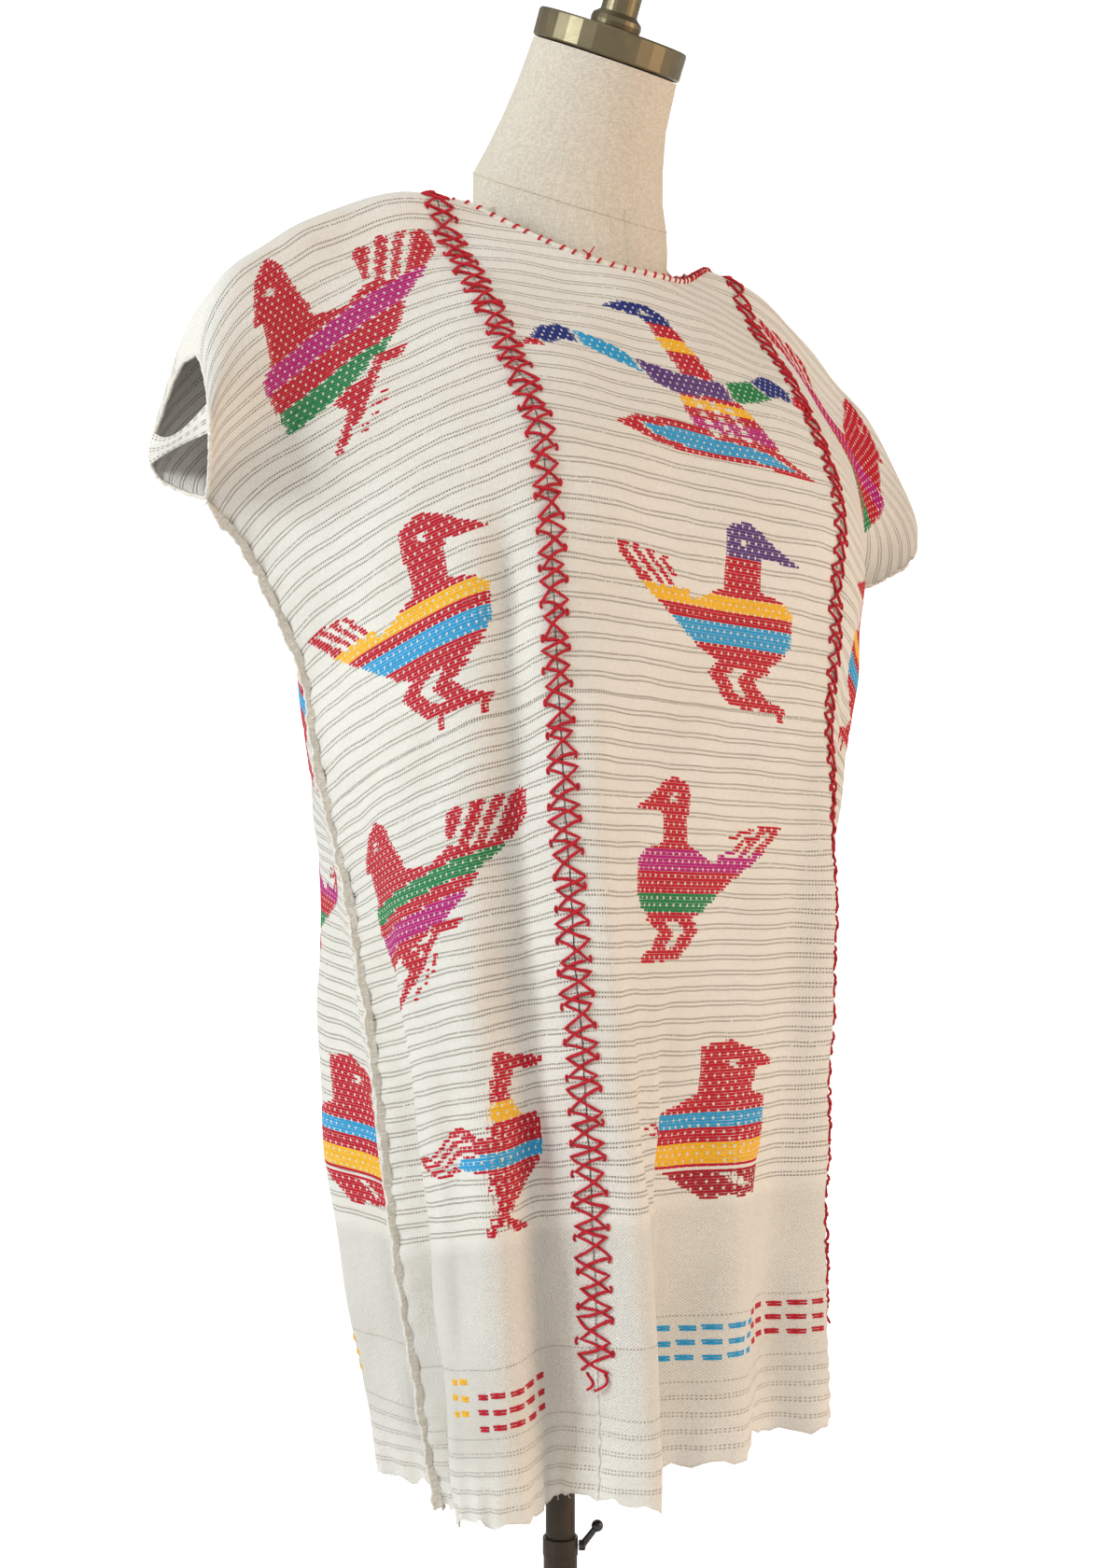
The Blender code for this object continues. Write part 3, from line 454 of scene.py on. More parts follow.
def openwork_group() -> bpy.types.NodeTree:
    """The panels' weave: dotted rows of holes, a basket zone and ribs, from cloth metres.

    Returns:
        A group with the holes' mask and the weave's height.
    """
    g, start, end = new_group("openwork", [("Cloth", "NodeSocketVector")],
                              [("Holes", "NodeSocketFloat"), ("Height", "NodeSocketFloat")])
    split = g.node("ShaderNodeSeparateXYZ")
    g.join(start.outputs[0], split.inputs[0])
    wander = g.noise(start.outputs[0], 26.0, 1.0)
    depth = g.math("ABSOLUTE", split.outputs[1])
    depth = g.math("ADD", depth, g.math("MULTIPLY", g.math("SUBTRACT", wander, 0.5), 0.004))

    def rows(pitch: float, apart: float, low: float, high: float) -> bpy.types.NodeSocket:
        """Pairs of thin lines between two depths."""
        phase = g.math("FRACT", g.math("DIVIDE", depth, pitch))
        off = g.math("MULTIPLY", g.math("SUBTRACT", phase, 0.5), pitch)
        off = g.math("SUBTRACT", g.math("ABSOLUTE", off), apart / 2)
        line = g.math("SUBTRACT", 1.0, g.ramp(g.math("ABSOLUTE", off), 0.00025, 0.00070))
        zone = g.math("MULTIPLY", g.ramp(depth, low - .001, low),
                      g.math("SUBTRACT", 1.0, g.ramp(depth, high, high + .001)))
        return g.math("MULTIPLY", line, zone)

    upper = rows(0.0124, 0.0030, 0.012, 0.403)
    lower = rows(0.0107, 0.0028, 0.403, 0.741)
    single = g.math("MULTIPLY", rows(0.0120, 0.0, 0.822, 0.829), 0.6)
    ribs = g.math("MULTIPLY", rows(0.0118, 0.0022, 0.868, 0.921), 0.55)
    lines = g.math("MAXIMUM", g.math("MAXIMUM", upper, lower), g.math("MAXIMUM", single, ribs))
    across = g.math("FRACT", g.math("DIVIDE", split.outputs[0], 0.00205))
    dots = g.ramp(g.math("ABSOLUTE", g.math("SUBTRACT", across, 0.5)), 0.31, 0.19)
    uneven = g.ramp(g.noise(start.outputs[0], 380.0, 1.0), 0.26, 0.46)
    holes = g.math("MULTIPLY", g.math("MULTIPLY", lines, dots), uneven)
    warp = g.noise(g.stretched(start.outputs[0], (1100.0, 260.0, 1.0)), 1.0, 2.0)
    weft = g.noise(g.stretched(start.outputs[0], (300.0, 1250.0, 1.0)), 1.0, 2.0)
    basket_u = g.math("SINE", g.math("MULTIPLY", split.outputs[0], 2 * math.pi / 0.0022))
    basket_v = g.math("SINE", g.math("MULTIPLY", split.outputs[1], 2 * math.pi / 0.0022))
    basket = g.math("MULTIPLY", g.math("MULTIPLY", basket_u, basket_v),
                    g.math("MULTIPLY", g.ramp(depth, .735, .75), g.ramp(depth, .93, .86)))
    height = g.math("ADD", g.math("ADD", warp, weft), g.math("MULTIPLY", basket, 0.50))
    height = g.math("SUBTRACT", height, g.math("MULTIPLY", holes, 1.3))
    height = g.math("SUBTRACT", height, g.math("MULTIPLY", lines, 0.25))
    g.join(holes, end.inputs[0])
    g.join(height, end.inputs[1])
    return g.tree


def brocade_group() -> bpy.types.NodeTree:
    """The brocade's staggered ground-coloured crosses and its thread ridges.

    Returns:
        A group with the crosses' mask and the threads' height.
    """
    g, start, end = new_group("brocade", [("Cloth", "NodeSocketVector")],
                              [("Crosses", "NodeSocketFloat"), ("Height", "NodeSocketFloat")])
    split = g.node("ShaderNodeSeparateXYZ")
    g.join(start.outputs[0], split.inputs[0])
    row = g.math("DIVIDE", split.outputs[1], 0.0049)
    odd = g.math("MULTIPLY", g.math("FLOORED_MODULO", g.math("FLOOR", row), 2.0), 0.5)
    cell_v = g.math("ABSOLUTE", g.math("SUBTRACT", g.math("FRACT", row), 0.5))
    column_at = g.math("ADD", g.math("DIVIDE", split.outputs[0], 0.0060), odd)
    cell_u = g.math("ABSOLUTE", g.math("SUBTRACT", g.math("FRACT", column_at), 0.5))
    upright = g.math("MULTIPLY", g.ramp(cell_u, .085, .055), g.ramp(cell_v, .26, .20))
    level_bar = g.math("MULTIPLY", g.ramp(cell_u, .165, .12), g.ramp(cell_v, .11, .07))
    crosses = g.math("MAXIMUM", upright, level_bar)
    patchy = g.ramp(g.noise(start.outputs[0], 130.0, 2.0), 0.30, 0.46)
    crosses = g.math("MULTIPLY", crosses, patchy)
    thread = g.noise(g.stretched(start.outputs[0], (420.0, 1900.0, 1.0)), 1.0, 2.0)
    g.join(crosses, end.inputs[0])
    g.join(g.math("SUBTRACT", thread, g.math("MULTIPLY", crosses, 0.8)), end.inputs[1])
    return g.tree


def fibre_group() -> bpy.types.NodeTree:
    """Uneven fibres for threads and plain cloth, from any vector.

    Returns:
        A group with a shade between 0 and 1 and a height.
    """
    g, start, end = new_group(
        "fibre", [("Place", "NodeSocketVector"), ("Scale", "NodeSocketFloat")],
        [("Shade", "NodeSocketFloat"), ("Height", "NodeSocketFloat")])
    scaled = g.node("ShaderNodeVectorMath", operation="SCALE")
    g.join(start.outputs[0], scaled.inputs[0])
    g.join(start.outputs[1], scaled.inputs["Scale"])
    along = g.noise(g.stretched(scaled.outputs[0], (1.0, 1.0, 0.22)), 1.0, 3.0)
    across = g.noise(g.stretched(scaled.outputs[0], (0.2, 0.2, 1.0)), 1.0, 3.0)
    both = g.math("MULTIPLY", g.math("ADD", along, across), 0.5)
    g.join(both, end.inputs[0])
    g.join(both, end.inputs[1])
    return g.tree


@dataclass(frozen=True)
class Finish:
    """A Principled finish and how its pattern is made.

    Attributes:
        name: The material's name.
        colour: Base colour.
        roughness: Surface roughness.
        metallic: 1 for metal.
        sheen: Cloth fuzz.
        grain: Fibre or brushing scale, per metre.
        shade: How much the grain darkens the colour.
        relief: Depth of the bump in metres.
        coat: Clear coat.
    """

    name: str
    colour: Colour
    roughness: float = 0.85
    metallic: float = 0.0
    sheen: float = 0.0
    grain: float = 900.0
    shade: float = 0.2
    relief: float = 0.0002
    coat: float = 0.0

    def start(self) -> tuple[bpy.types.Material, Graph, bpy.types.Node]:
        """A new material with its shader's constants set."""
        made = bpy.data.materials.new(self.name)
        made.use_nodes = True
        shader = made.node_tree.nodes["Principled BSDF"]
        shader.inputs["Base Color"].default_value = (*self.colour, 1)
        shader.inputs["Roughness"].default_value = self.roughness
        shader.inputs["Metallic"].default_value = self.metallic
        shader.inputs["Sheen Weight"].default_value = self.sheen
        shader.inputs["Sheen Roughness"].default_value = 0.5
        shader.inputs["Coat Weight"].default_value = self.coat
        return made, Graph(made.node_tree), shader

    def bump(self, g: Graph, height: object, shader: bpy.types.Node, depth: float) -> None:
        """Joins a height to the shader as bump."""
        made = g.node("ShaderNodeBump")
        made.inputs["Distance"].default_value = depth
        made.inputs["Strength"].default_value = 1.0
        g.join(height, made.inputs["Height"])
        g.join(made.outputs[0], shader.inputs["Normal"])

    def build(self, groups: "Groups") -> bpy.types.Material:
        """The material, shaded by fibres in object coordinates."""
        made, g, shader = self.start()
        place = g.node("ShaderNodeTexCoord").outputs["Object"]
        fibre = g.node("ShaderNodeGroup", node_tree=groups.fibre)
        g.join(place, fibre.inputs[0])
        fibre.inputs[1].default_value = self.grain
        share = g.ramp(fibre.outputs[0], 0.40, 0.62)
        dark = tuple(c * (1 - self.shade) for c in self.colour) + (1,)
        light = tuple(min(1, c * (1 + self.shade * 0.35)) for c in self.colour) + (1,)
        g.join(g.blend(share, dark, light), shader.inputs["Base Color"])
        self.bump(g, fibre.outputs[1], shader, self.relief)
        return made


@dataclass(frozen=True)
class WovenFinish(Finish):
    """The panels' cotton, with openwork read from the cloth's own map; its holes are painted in the
    colour of the shade seen through them, and the weave's low places carry painted shade.
    """

    # The holes' colour is painted shade, the dark that is seen through them.
    hole_shade: Colour = (0.33, 0.26, 0.175)

    def build(self, groups: "Groups") -> bpy.types.Material:
        """The material of a panel."""
        made, g, shader = self.start()
        place = g.node("ShaderNodeUVMap", uv_map="cloth").outputs[0]
        weave = g.node("ShaderNodeGroup", node_tree=groups.openwork)
        g.join(place, weave.inputs[0])
        cloud = g.noise(place, 14.0, 3.0)
        slub = g.noise(g.stretched(place, (40.0, 900.0, 1.0)), 1.0, 2.0)
        share = g.math("MULTIPLY", g.math("ADD", g.ramp(cloud, .35, .65), g.ramp(slub, .3, .7)), .5)
        warm = tuple(c * k for c, k in zip(self.colour, (0.955, 0.935, 0.90))) + (1,)
        ground = g.blend(share, warm, (*self.colour, 1))
        # Painted shade: the weave's low places, with the rows of holes, are darkened towards a shaded
        # cotton colour.
        low_weave_shade = g.math("SUBTRACT", 1.0, g.ramp(weave.outputs[1], 0.75, 1.15))
        shaded_cotton = tuple(c * k for c, k in zip(self.colour, (0.86, 0.83, 0.78))) + (1,)
        ground = g.blend(g.math("MULTIPLY", low_weave_shade, 0.45), ground, shaded_cotton)
        # The holes are painted in the shade colour that is seen through them.
        g.join(g.blend(weave.outputs[0], ground, (*self.hole_shade, 1)), shader.inputs["Base Color"])
        self.bump(g, weave.outputs[1], shader, self.relief)
        return made


@dataclass(frozen=True)
class BrocadeFinish(Finish):
    """The birds' threads: colour from the piece's attribute, with ground crosses and a painted
    highlight on the threads' ridges.
    """

    ground: Colour = (0.88, 0.84, 0.76)
    crosses: float = 1.0

    def build(self, groups: "Groups") -> bpy.types.Material:
        """The material of the brocade."""
        made, g, shader = self.start()
        place = g.node("ShaderNodeUVMap", uv_map="cloth").outputs[0]
        weave = g.node("ShaderNodeGroup", node_tree=groups.brocade)
        g.join(place, weave.inputs[0])
        thread = g.node("ShaderNodeVertexColor", layer_name="thread").outputs[0]
        # Painted highlight: where the threads' ridges rise, their colour is made up to a quarter
        # brighter.
        ridge_highlight = g.node("ShaderNodeMix", data_type="RGBA", blend_type="MULTIPLY")
        g.join(g.ramp(weave.outputs[1], 0.35, 0.7), ridge_highlight.inputs[0])
        g.join(thread, ridge_highlight.inputs[6])
        ridge_highlight.inputs[7].default_value = (1.25, 1.25, 1.25, 1)
        share = g.math("MULTIPLY", weave.outputs[0], self.crosses)
        mixed = g.blend(share, ridge_highlight.outputs[2], (*self.ground, 1))
        g.join(mixed, shader.inputs["Base Color"])
        self.bump(g, weave.outputs[1], shader, self.relief)
        return made


@dataclass(frozen=True)
class BrushedFinish(Finish):
    """Dark bronze, brushed round its axis and rubbed paler here and there."""

    def build(self, groups: "Groups") -> bpy.types.Material:
        """The material of the metal."""
        made, g, shader = self.start()
        place = g.node("ShaderNodeTexCoord").outputs["Object"]
        brushed = g.noise(g.stretched(place, (40.0, 40.0, 2600.0)), 1.0, 3.0)
        rubbed = g.ramp(g.noise(place, 28.0, 4.0), 0.45, 0.68)
        dark = tuple(c * 0.62 for c in self.colour) + (1,)
        share = g.math("MULTIPLY", g.math("ADD", brushed, rubbed), 0.5)
        g.join(g.blend(share, dark, (*self.colour, 1)), shader.inputs["Base Color"])
        g.join(g.math("ADD", g.math("MULTIPLY", brushed, 0.22), self.roughness - 0.1),
               shader.inputs["Roughness"])
        self.bump(g, brushed, shader, self.relief)
        return made


@dataclass(frozen=True)
class SweepFinish(Finish):
    """The studio's white sweep, which glows only where it is looked at directly."""

    glow: float = 0.75

    def build(self, groups: "Groups") -> bpy.types.Material:
        """The material of the sweep."""
        made, g, shader = self.start()
        seen = g.node("ShaderNodeLightPath").outputs["Is Camera Ray"]
        g.join(g.blend(seen, (0, 0, 0, 1), (1, 1, 1, 1)), shader.inputs["Emission Color"])
        shader.inputs["Emission Strength"].default_value = self.glow
        return made


class Groups:
    """The shader groups that several materials share."""

    def __init__(self) -> None:
        """Builds each group once."""
        self.openwork = openwork_group()
        self.brocade = brocade_group()
        self.fibre = fibre_group()


COTTON = WovenFinish("cream cotton", (0.895, 0.872, 0.812), 0.92, sheen=0.08, relief=0.00060)
ROLLED = Finish("cream thread", (0.88, 0.83, 0.735), 0.92, sheen=0.15, grain=700, shade=0.14)
BROCADE = BrocadeFinish("brocade threads", (0.5, 0.05, 0.08), 0.9, sheen=0.0, relief=0.0003)
DASHES = BrocadeFinish("dash threads", (0.5, 0.05, 0.08), 0.8, sheen=0.1, relief=0.0003,
                       crosses=0.0)
RED_CORD = Finish("red thread", (0.60, 0.004, 0.020), 0.8, sheen=0.02, grain=1400, shade=0.35)
LINEN = Finish("linen", (0.74, 0.665, 0.545), 0.95, sheen=0.05, grain=1300, shade=0.16,
               relief=0.00022)
SEAM_THREAD = Finish("linen seam", (0.70, 0.625, 0.51), 0.95, grain=900, shade=0.2)
BRONZE = BrushedFinish("antique bronze", (0.27, 0.225, 0.135), 0.38, metallic=0.85, relief=0.00004)
POLE = BrushedFinish("dark bronze", (0.075, 0.058, 0.040), 0.40, metallic=0.7, relief=0.00004)
ENAMEL = Finish("black enamel", (0.012, 0.012, 0.013), 0.22, grain=60, shade=0.3,
                relief=0.00002, coat=0.6)
SWEEP = SweepFinish("white sweep", (0.90, 0.90, 0.90), 0.95)


# ------------------------------------------------------------------ meshes
@dataclass
class Piece:
    """Collects a mesh, with cloth map and thread colours where it has them.

    Attributes:
        verts: World places.
        faces: Vertex loops.
        cloth_map: s and v of each vertex.
        colours: Thread colour of each vertex.
        waiting: First vertex, s, v and height of each strip still to be laid on the cloth.
    """

    verts: list = field(default_factory=list)
    faces: list = field(default_factory=list)
    cloth_map: list = field(default_factory=list)
    colours: list = field(default_factory=list)
    waiting: list = field(default_factory=list)

    def strip(self, s: Places, v: Places, height: Places, colour: Places, flip: bool) -> None:
        """Adds a grid on the cloth, which build() puts in place with all the others."""
        self.waiting.append((len(self.verts), s.ravel(), v.ravel(), height.ravel()))
        self.grid(np.zeros(s.shape + (3,)), flip=flip)
        self.cloth_map.extend(zip(s.ravel().tolist(), v.ravel().tolist()))
        self.colours.extend([tuple(colour)] * s.size)

    def settle(self) -> None:
        """Puts the waiting strips on the cloth, all at once."""
        if not self.waiting:
            return
        s, v, height = (np.concatenate([strip[k] for strip in self.waiting]) for k in (1, 2, 3))
        places = list(map(tuple, laid(s, v, height)))
        done = 0
        for start, across, _, _ in self.waiting:
            self.verts[start:start + len(across)] = places[done:done + len(across)]
            done += len(across)
        self.waiting = []

    def grid(self, places: Places, closed: bool = False, flip: bool = False) -> None:
        """Adds a grid of places, rows by columns, optionally closed round its columns."""
        rows, columns = places.shape[:2]
        start = len(self.verts)
        self.verts.extend(map(tuple, places.reshape(-1, 3)))
        last = columns if closed else columns - 1
        for j in range(rows - 1):
            for i in range(last):
                n = (i + 1) % columns
                a, b = start + j * columns, start + (j + 1) * columns
                loop = (a + i, b + i, b + n, a + n)
                self.faces.append(loop[::-1] if flip else loop)

    def tube(self, path: Places, ups: Places, radius: float | Places, sides: int = 6,
             closed: bool = False) -> None:
        """Adds a round cord along a path, with its ends closed unless it is a loop."""
        path = np.asarray(path, dtype=float)
        if closed:
            along = np.roll(path, -1, axis=0) - np.roll(path, 1, axis=0)
        else:
            along = np.gradient(path, axis=0)
        along /= np.linalg.norm(along, axis=1, keepdims=True) + 1e-12
        side = np.cross(along, ups)
        side /= np.linalg.norm(side, axis=1, keepdims=True) + 1e-12
        up = np.cross(side, along)
        turn = 2 * math.pi * np.arange(sides) / sides
        size = np.broadcast_to(np.asarray(radius, dtype=float), (len(path),))[:, None, None]
        ring = path[:, None] + size * (np.cos(turn)[None, :, None] * side[:, None]
                                       + np.sin(turn)[None, :, None] * up[:, None])
        if closed:
            ring = np.concatenate([ring, ring[:1]])
        start = len(self.verts)
        self.grid(ring, closed=True)
        if not closed:
            self.faces.append(tuple(start + k for k in range(sides)))
            end = start + (len(path) - 1) * sides
            self.faces.append(tuple(end + k for k in reversed(range(sides))))

    def build(self, name: str, finish: bpy.types.Material, flat: bool = False
              ) -> bpy.types.Object:
        """Makes the object.

        Args:
            name: The object's name.
            finish: Its material.
            flat: Whether faces stay flat shaded.

        Returns:
            The linked object.
        """
        self.settle()
        mesh = bpy.data.meshes.new(name)
        mesh.from_pydata(self.verts, [], self.faces)
        if not flat:
            mesh.shade_smooth()
        loops = np.empty(len(mesh.loops), dtype=np.int32)
        mesh.loops.foreach_get("vertex_index", loops)
        if self.cloth_map:
            spots = np.asarray(self.cloth_map, dtype=float)[loops]
            layer = mesh.uv_layers.new(name="cloth")
            layer.data.foreach_set("uv", spots.ravel())
        if self.colours:
            threads = mesh.color_attributes.new("thread", "FLOAT_COLOR", "POINT")
            values = np.ones((len(self.verts), 4))
            values[:, :3] = np.asarray(self.colours)
            threads.data.foreach_set("color", values.ravel())
        mesh.materials.append(finish)
        made = bpy.data.objects.new(name, mesh)
        bpy.context.scene.collection.objects.link(made)
        LOG.info("%s: %d faces", name, len(self.faces))
        return made


def neck_edge_row(s: Places, layer: int) -> Places:
    """v of the cut neck edge at s: layer 1 is the front, -1 the back."""
    rise = np.sqrt(np.clip(1 - (s / NECK_HALF) ** 2, 0, None))
    scoop = NECK_FRONT if layer > 0 else NECK_BACK
    return layer * (scoop * rise**3 + NECK_END * rise)


def hem_edge(s: Places, layer: int) -> Places:
    """How far the frayed hem reaches past its line at s."""
    seams = np.exp(-((np.abs(s) - RANDA) / 0.012) ** 2)
    return (0.0015 * wobble(s, 1.3 + layer, 0.019) + 0.0008 * wobble(s, 2.9 * layer, 0.0067)
            + 0.0042 * wobble(s, 0.7 * layer, 0.105) - 0.0030 * seams)


@dataclass
class Panel:
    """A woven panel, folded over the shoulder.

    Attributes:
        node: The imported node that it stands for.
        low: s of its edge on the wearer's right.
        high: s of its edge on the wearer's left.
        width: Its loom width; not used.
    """

    node: str
    low: float
    high: float
    width: float

    def columns(self) -> Places:
        """s of the panel's columns, closer at the edges."""
        even = np.linspace(self.low, self.high, 1 + round((self.high - self.low) / 0.0045))
        extra = [self.low + 0.0012, self.high - 0.0012]
        if self.low < -NECK_HALF < self.high:
            ends = [-NECK_HALF, -NECK_HALF + .0004, NECK_HALF - .0004, NECK_HALF]
            extra += ends + [-.1225, -.1205, .1205, .1225]
        return np.unique(np.round(np.concatenate([even, extra]), 5))

    def layer(self, s: Places, sign: int) -> tuple[Places, Places]:
        """Grid of s and v for one layer, from the fold or neck edge to the hem."""
        rows = np.concatenate([[0, .0015, .004, .008], np.linspace(.013, LENGTH, 290)]) / LENGTH
        top = np.where(np.abs(s) < NECK_HALF, neck_edge_row(s, sign), 0.0)
        if self.low * self.high > 0:
            top = np.zeros_like(s)
        foot = sign * (LENGTH + hem_edge(s, sign))
        v = top[None, :] + (foot - top)[None, :] * rows[:, None]
        return np.broadcast_to(s, v.shape), v

    def build(self, finish: bpy.types.Material) -> bpy.types.Object:
        """The shell: outer and inner faces with rims round the cut edges."""
        piece = Piece()
        s = self.columns()
        centre = self.low * self.high < 0
        for sign in (-1, 1):
            grid_s, grid_v = self.layer(s, sign)
            sewn = (np.abs(grid_s) > SIDE - 1e-4) & (np.abs(grid_v) > UNDERARM)
            middle = laid(grid_s, grid_v)
            normal = facing(grid_s, grid_v)
            if sewn.any():
                depth = above_hem(np.abs(grid_v[sewn]))
                normal[sewn] = seam_outward(grid_s[sewn], depth)
                middle[sewn, :2] = cloth(grid_s[sewn], depth)[:, :2]
            flip = sign > 0
            outer, inner = middle + normal * SHELL / 2, middle - normal * SHELL / 2
            sheet_map = np.stack([grid_s, grid_v], axis=-1).reshape(-1, 2)
            for places, turned in ((outer, flip), (inner, not flip)):
                piece.grid(places, flip=not turned)
                piece.cloth_map.extend(map(tuple, sheet_map))
            rows, columns = grid_s.shape
            base = len(piece.verts) - 2 * rows * columns
            rims = [[j * columns for j in range(rows)],
                    [(rows - 1) * columns + i for i in range(columns)],
                    [j * columns + columns - 1 for j in reversed(range(rows))]]
            if centre:
                rims.append([i for i in reversed(range(columns)) if abs(s[i]) <= NECK_HALF])
            for rim in rims:
                for a, b in zip(rim, rim[1:]):
                    under = rows * columns
                    loop = (base + a, base + b, base + b + under, base + a + under)
                    piece.faces.append(loop if flip else loop[::-1])
        made = piece.build(f"{self.node}_cloth", finish)
        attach(made, "figure")
        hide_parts(self.node)
        return made


# ------------------------------------------------------------------ brocade
class Thread(Enum):
    """Brocade thread colours."""

    RED = (0.50, 0.004, 0.020)
    CRIMSON = (0.38, 0.003, 0.016)
    MAGENTA = (0.46, 0.006, 0.180)
    GREEN = (0.012, 0.215, 0.065)
    YELLOW = (0.86, 0.46, 0.008)
    BLUE = (0.020, 0.330, 0.620)
    PURPLE = (0.100, 0.040, 0.200)
    NAVY = (0.012, 0.026, 0.190)


Outline = Sequence[tuple[float, float]]


def inside(outline: Outline, x: Places, y: Places) -> Places:
    """Which points lie inside an outline."""
    hit = np.zeros(x.shape, dtype=bool)
    for (x0, y0), (x1, y1) in zip(outline, list(outline[1:]) + [outline[0]]):
        if y0 == y1:
            continue
        crosses = (y0 > y) != (y1 > y)
        hit ^= crosses & (x < (x1 - x0) * (y - y0) / (y1 - y0) + x0)
    return hit


def slats(first: Outline, step: tuple[float, float], count: int) -> list[Outline]:
    """Repeats an outline in steps."""
    return [[(x + k * step[0], y + k * step[1]) for x, y in first] for k in range(count)]


@dataclass
class Chart:
    """A figure drawn on a field of 100 by 100, facing +x, with y down.

    Attributes:
        parts: Name and outline of each part, painted in order.
        gaps: Outlines left in the ground's colour.
        eye: Where the eye is.
    """

    parts: list[tuple[str, Outline]]
    gaps: list[Outline] = field(default_factory=list)
    eye: tuple[float, float] | None = None


def walker() -> Chart:
    """A striding bird with a raised tail of slats."""
    head = [(60, 5), (66, 1), (73, 0), (80, 4), (88, 10), (100, 18), (90, 18), (81, 17), (81, 19),
            (60, 19)]
    neck = [(61, 18), (80, 18), (80, 35), (61, 36)]
    body = [(62, 34), (79, 34), (92, 38), (97, 43), (97, 60), (93, 67), (84, 74), (60, 74),
            (48, 68), (36, 58), (26, 50), (16, 42), (34, 42), (44, 43), (54, 38)]
    tail = [(0, 23), (4, 21), (9, 23), (12, 21), (17, 24), (20, 22), (25, 26), (28, 24),
            (33, 29), (42, 42), (36, 50), (24, 48), (14, 40)]
    gaps = [[(7, 24), (8.4, 24), (25, 41), (23.6, 41)], [(14, 24), (15.4, 24), (31, 41), (29.6, 41)],
            [(21, 25), (22.4, 25), (36, 41), (34.6, 41)], [(27.5, 26), (28.9, 26), (39, 39),
                                                           (37.6, 39)]]
    legs = [[(56, 73), (69, 73), (62, 79), (69, 87), (78, 91), (76, 95), (62, 92), (51, 79)],
            [(74, 73), (89, 73), (79, 80), (86, 88), (96, 92), (95, 96), (79, 94), (67, 81)],
            [(64, 90), (67, 90), (67, 99), (64, 99)], [(70, 92), (73, 92), (73, 100), (70, 100)],
            [(76, 92), (79, 92), (79, 99), (76, 99)], [(83, 92), (86, 92), (86, 100), (83, 100)],
            [(90, 94), (94, 94), (94, 100), (90, 100)]]
    parts = [("tail", tail), ("body", body), ("neck", neck), ("head", head)]
    return Chart(parts + [("leg", leg) for leg in legs], gaps, (71, 11))


def riser() -> Chart:
    """A bird with a hooked beak, whose body and tail slant up behind it."""
    head = [(100, 27), (96, 31), (97, 20), (92, 7), (86, 1), (79, 0), (73, 6), (70, 18), (88, 25),
            (95, 23)]
    neck = [(93, 20), (71, 12), (64, 28), (70, 46), (93, 48)]
    body = [(70, 26), (62, 33), (48, 36), (36, 30), (20, 34), (21, 44), (28, 55), (40, 65),
            (58, 73), (84, 80), (92, 80), (94, 70), (98, 56), (98, 48), (88, 38)]
    tail = [(36, 34), (38, 15), (32, 11), (28, 14), (22, 10), (18, 14), (13, 11), (9, 14), (3, 10),
            (0, 15), (0, 25), (10, 36), (24, 46)]
    gaps = [[(9, 13), (10.6, 13), (20, 33), (18.4, 33)], [(17, 13), (18.6, 13), (27, 33),
                                                         (25.4, 33)],
            [(26, 14), (27.6, 14), (34, 31), (32.4, 31)]]
    legs = [[(46, 66), (30, 66), (34, 70), (44, 71), (52, 81), (64, 92), (69, 90), (58, 79)],
            [(66, 75), (50, 73), (58, 78), (60, 84), (72, 98), (77, 96), (67, 84), (72, 78)],
            [(45, 80), (48, 78), (52, 88), (49, 89)], [(52, 86), (55, 84), (59, 94), (56, 95)],
            [(60, 93), (63, 91), (67, 100), (64, 100)], [(72, 95), (77, 95), (80, 100), (75, 100)]]
    parts = [("tail", tail), ("body", body), ("neck", neck), ("head", head)]
    return Chart(parts + [("leg", leg) for leg in legs], gaps, (84, 13))


def heron() -> Chart:
    """A slender bird with a thin neck and a curved tail."""
    head = [(67, 0), (71, 4), (80, 8), (92, 11), (100, 13), (95, 16), (86, 17), (79, 15), (76, 20),
            (66, 20)]
    neck = [(65, 18), (76, 18), (75, 30), (80, 37), (83, 41), (62, 41)]
    body = [(62, 40), (92, 40), (95, 50), (95, 60), (92, 66), (84, 74), (76, 82), (64, 84),
            (60, 74), (58, 66), (48, 64), (38, 61), (40, 58), (58, 56)]
    tail = [(0, 53), (3, 52), (14, 53), (24, 48), (34, 42), (42, 40), (52, 42), (60, 48), (62, 60),
            (46, 62), (30, 66), (14, 65)]
    gaps = [[(8, 56), (20, 54), (34, 46), (46, 44), (46, 45.4), (35, 47.6), (21, 55.6), (9, 57.5)],
            [(10, 60), (24, 58), (38, 50), (52, 48), (52, 49.4), (39, 51.6), (25, 59.6), (11, 61.5)],
            [(16, 64), (30, 61), (42, 55), (54, 53), (54, 54.4), (43, 56.6), (31, 62.6), (17, 65)]]
    legs = [[(64, 82), (70, 82), (66, 90), (63, 99), (58, 100), (61, 90)],
            [(68, 83), (76, 80), (70, 88), (76, 95), (84, 99), (70, 99), (66, 92)]]
    parts = [("fan", tail), ("body", body), ("neck", neck), ("head", head)]
    return Chart(parts + [("leg", leg) for leg in legs], gaps, None)


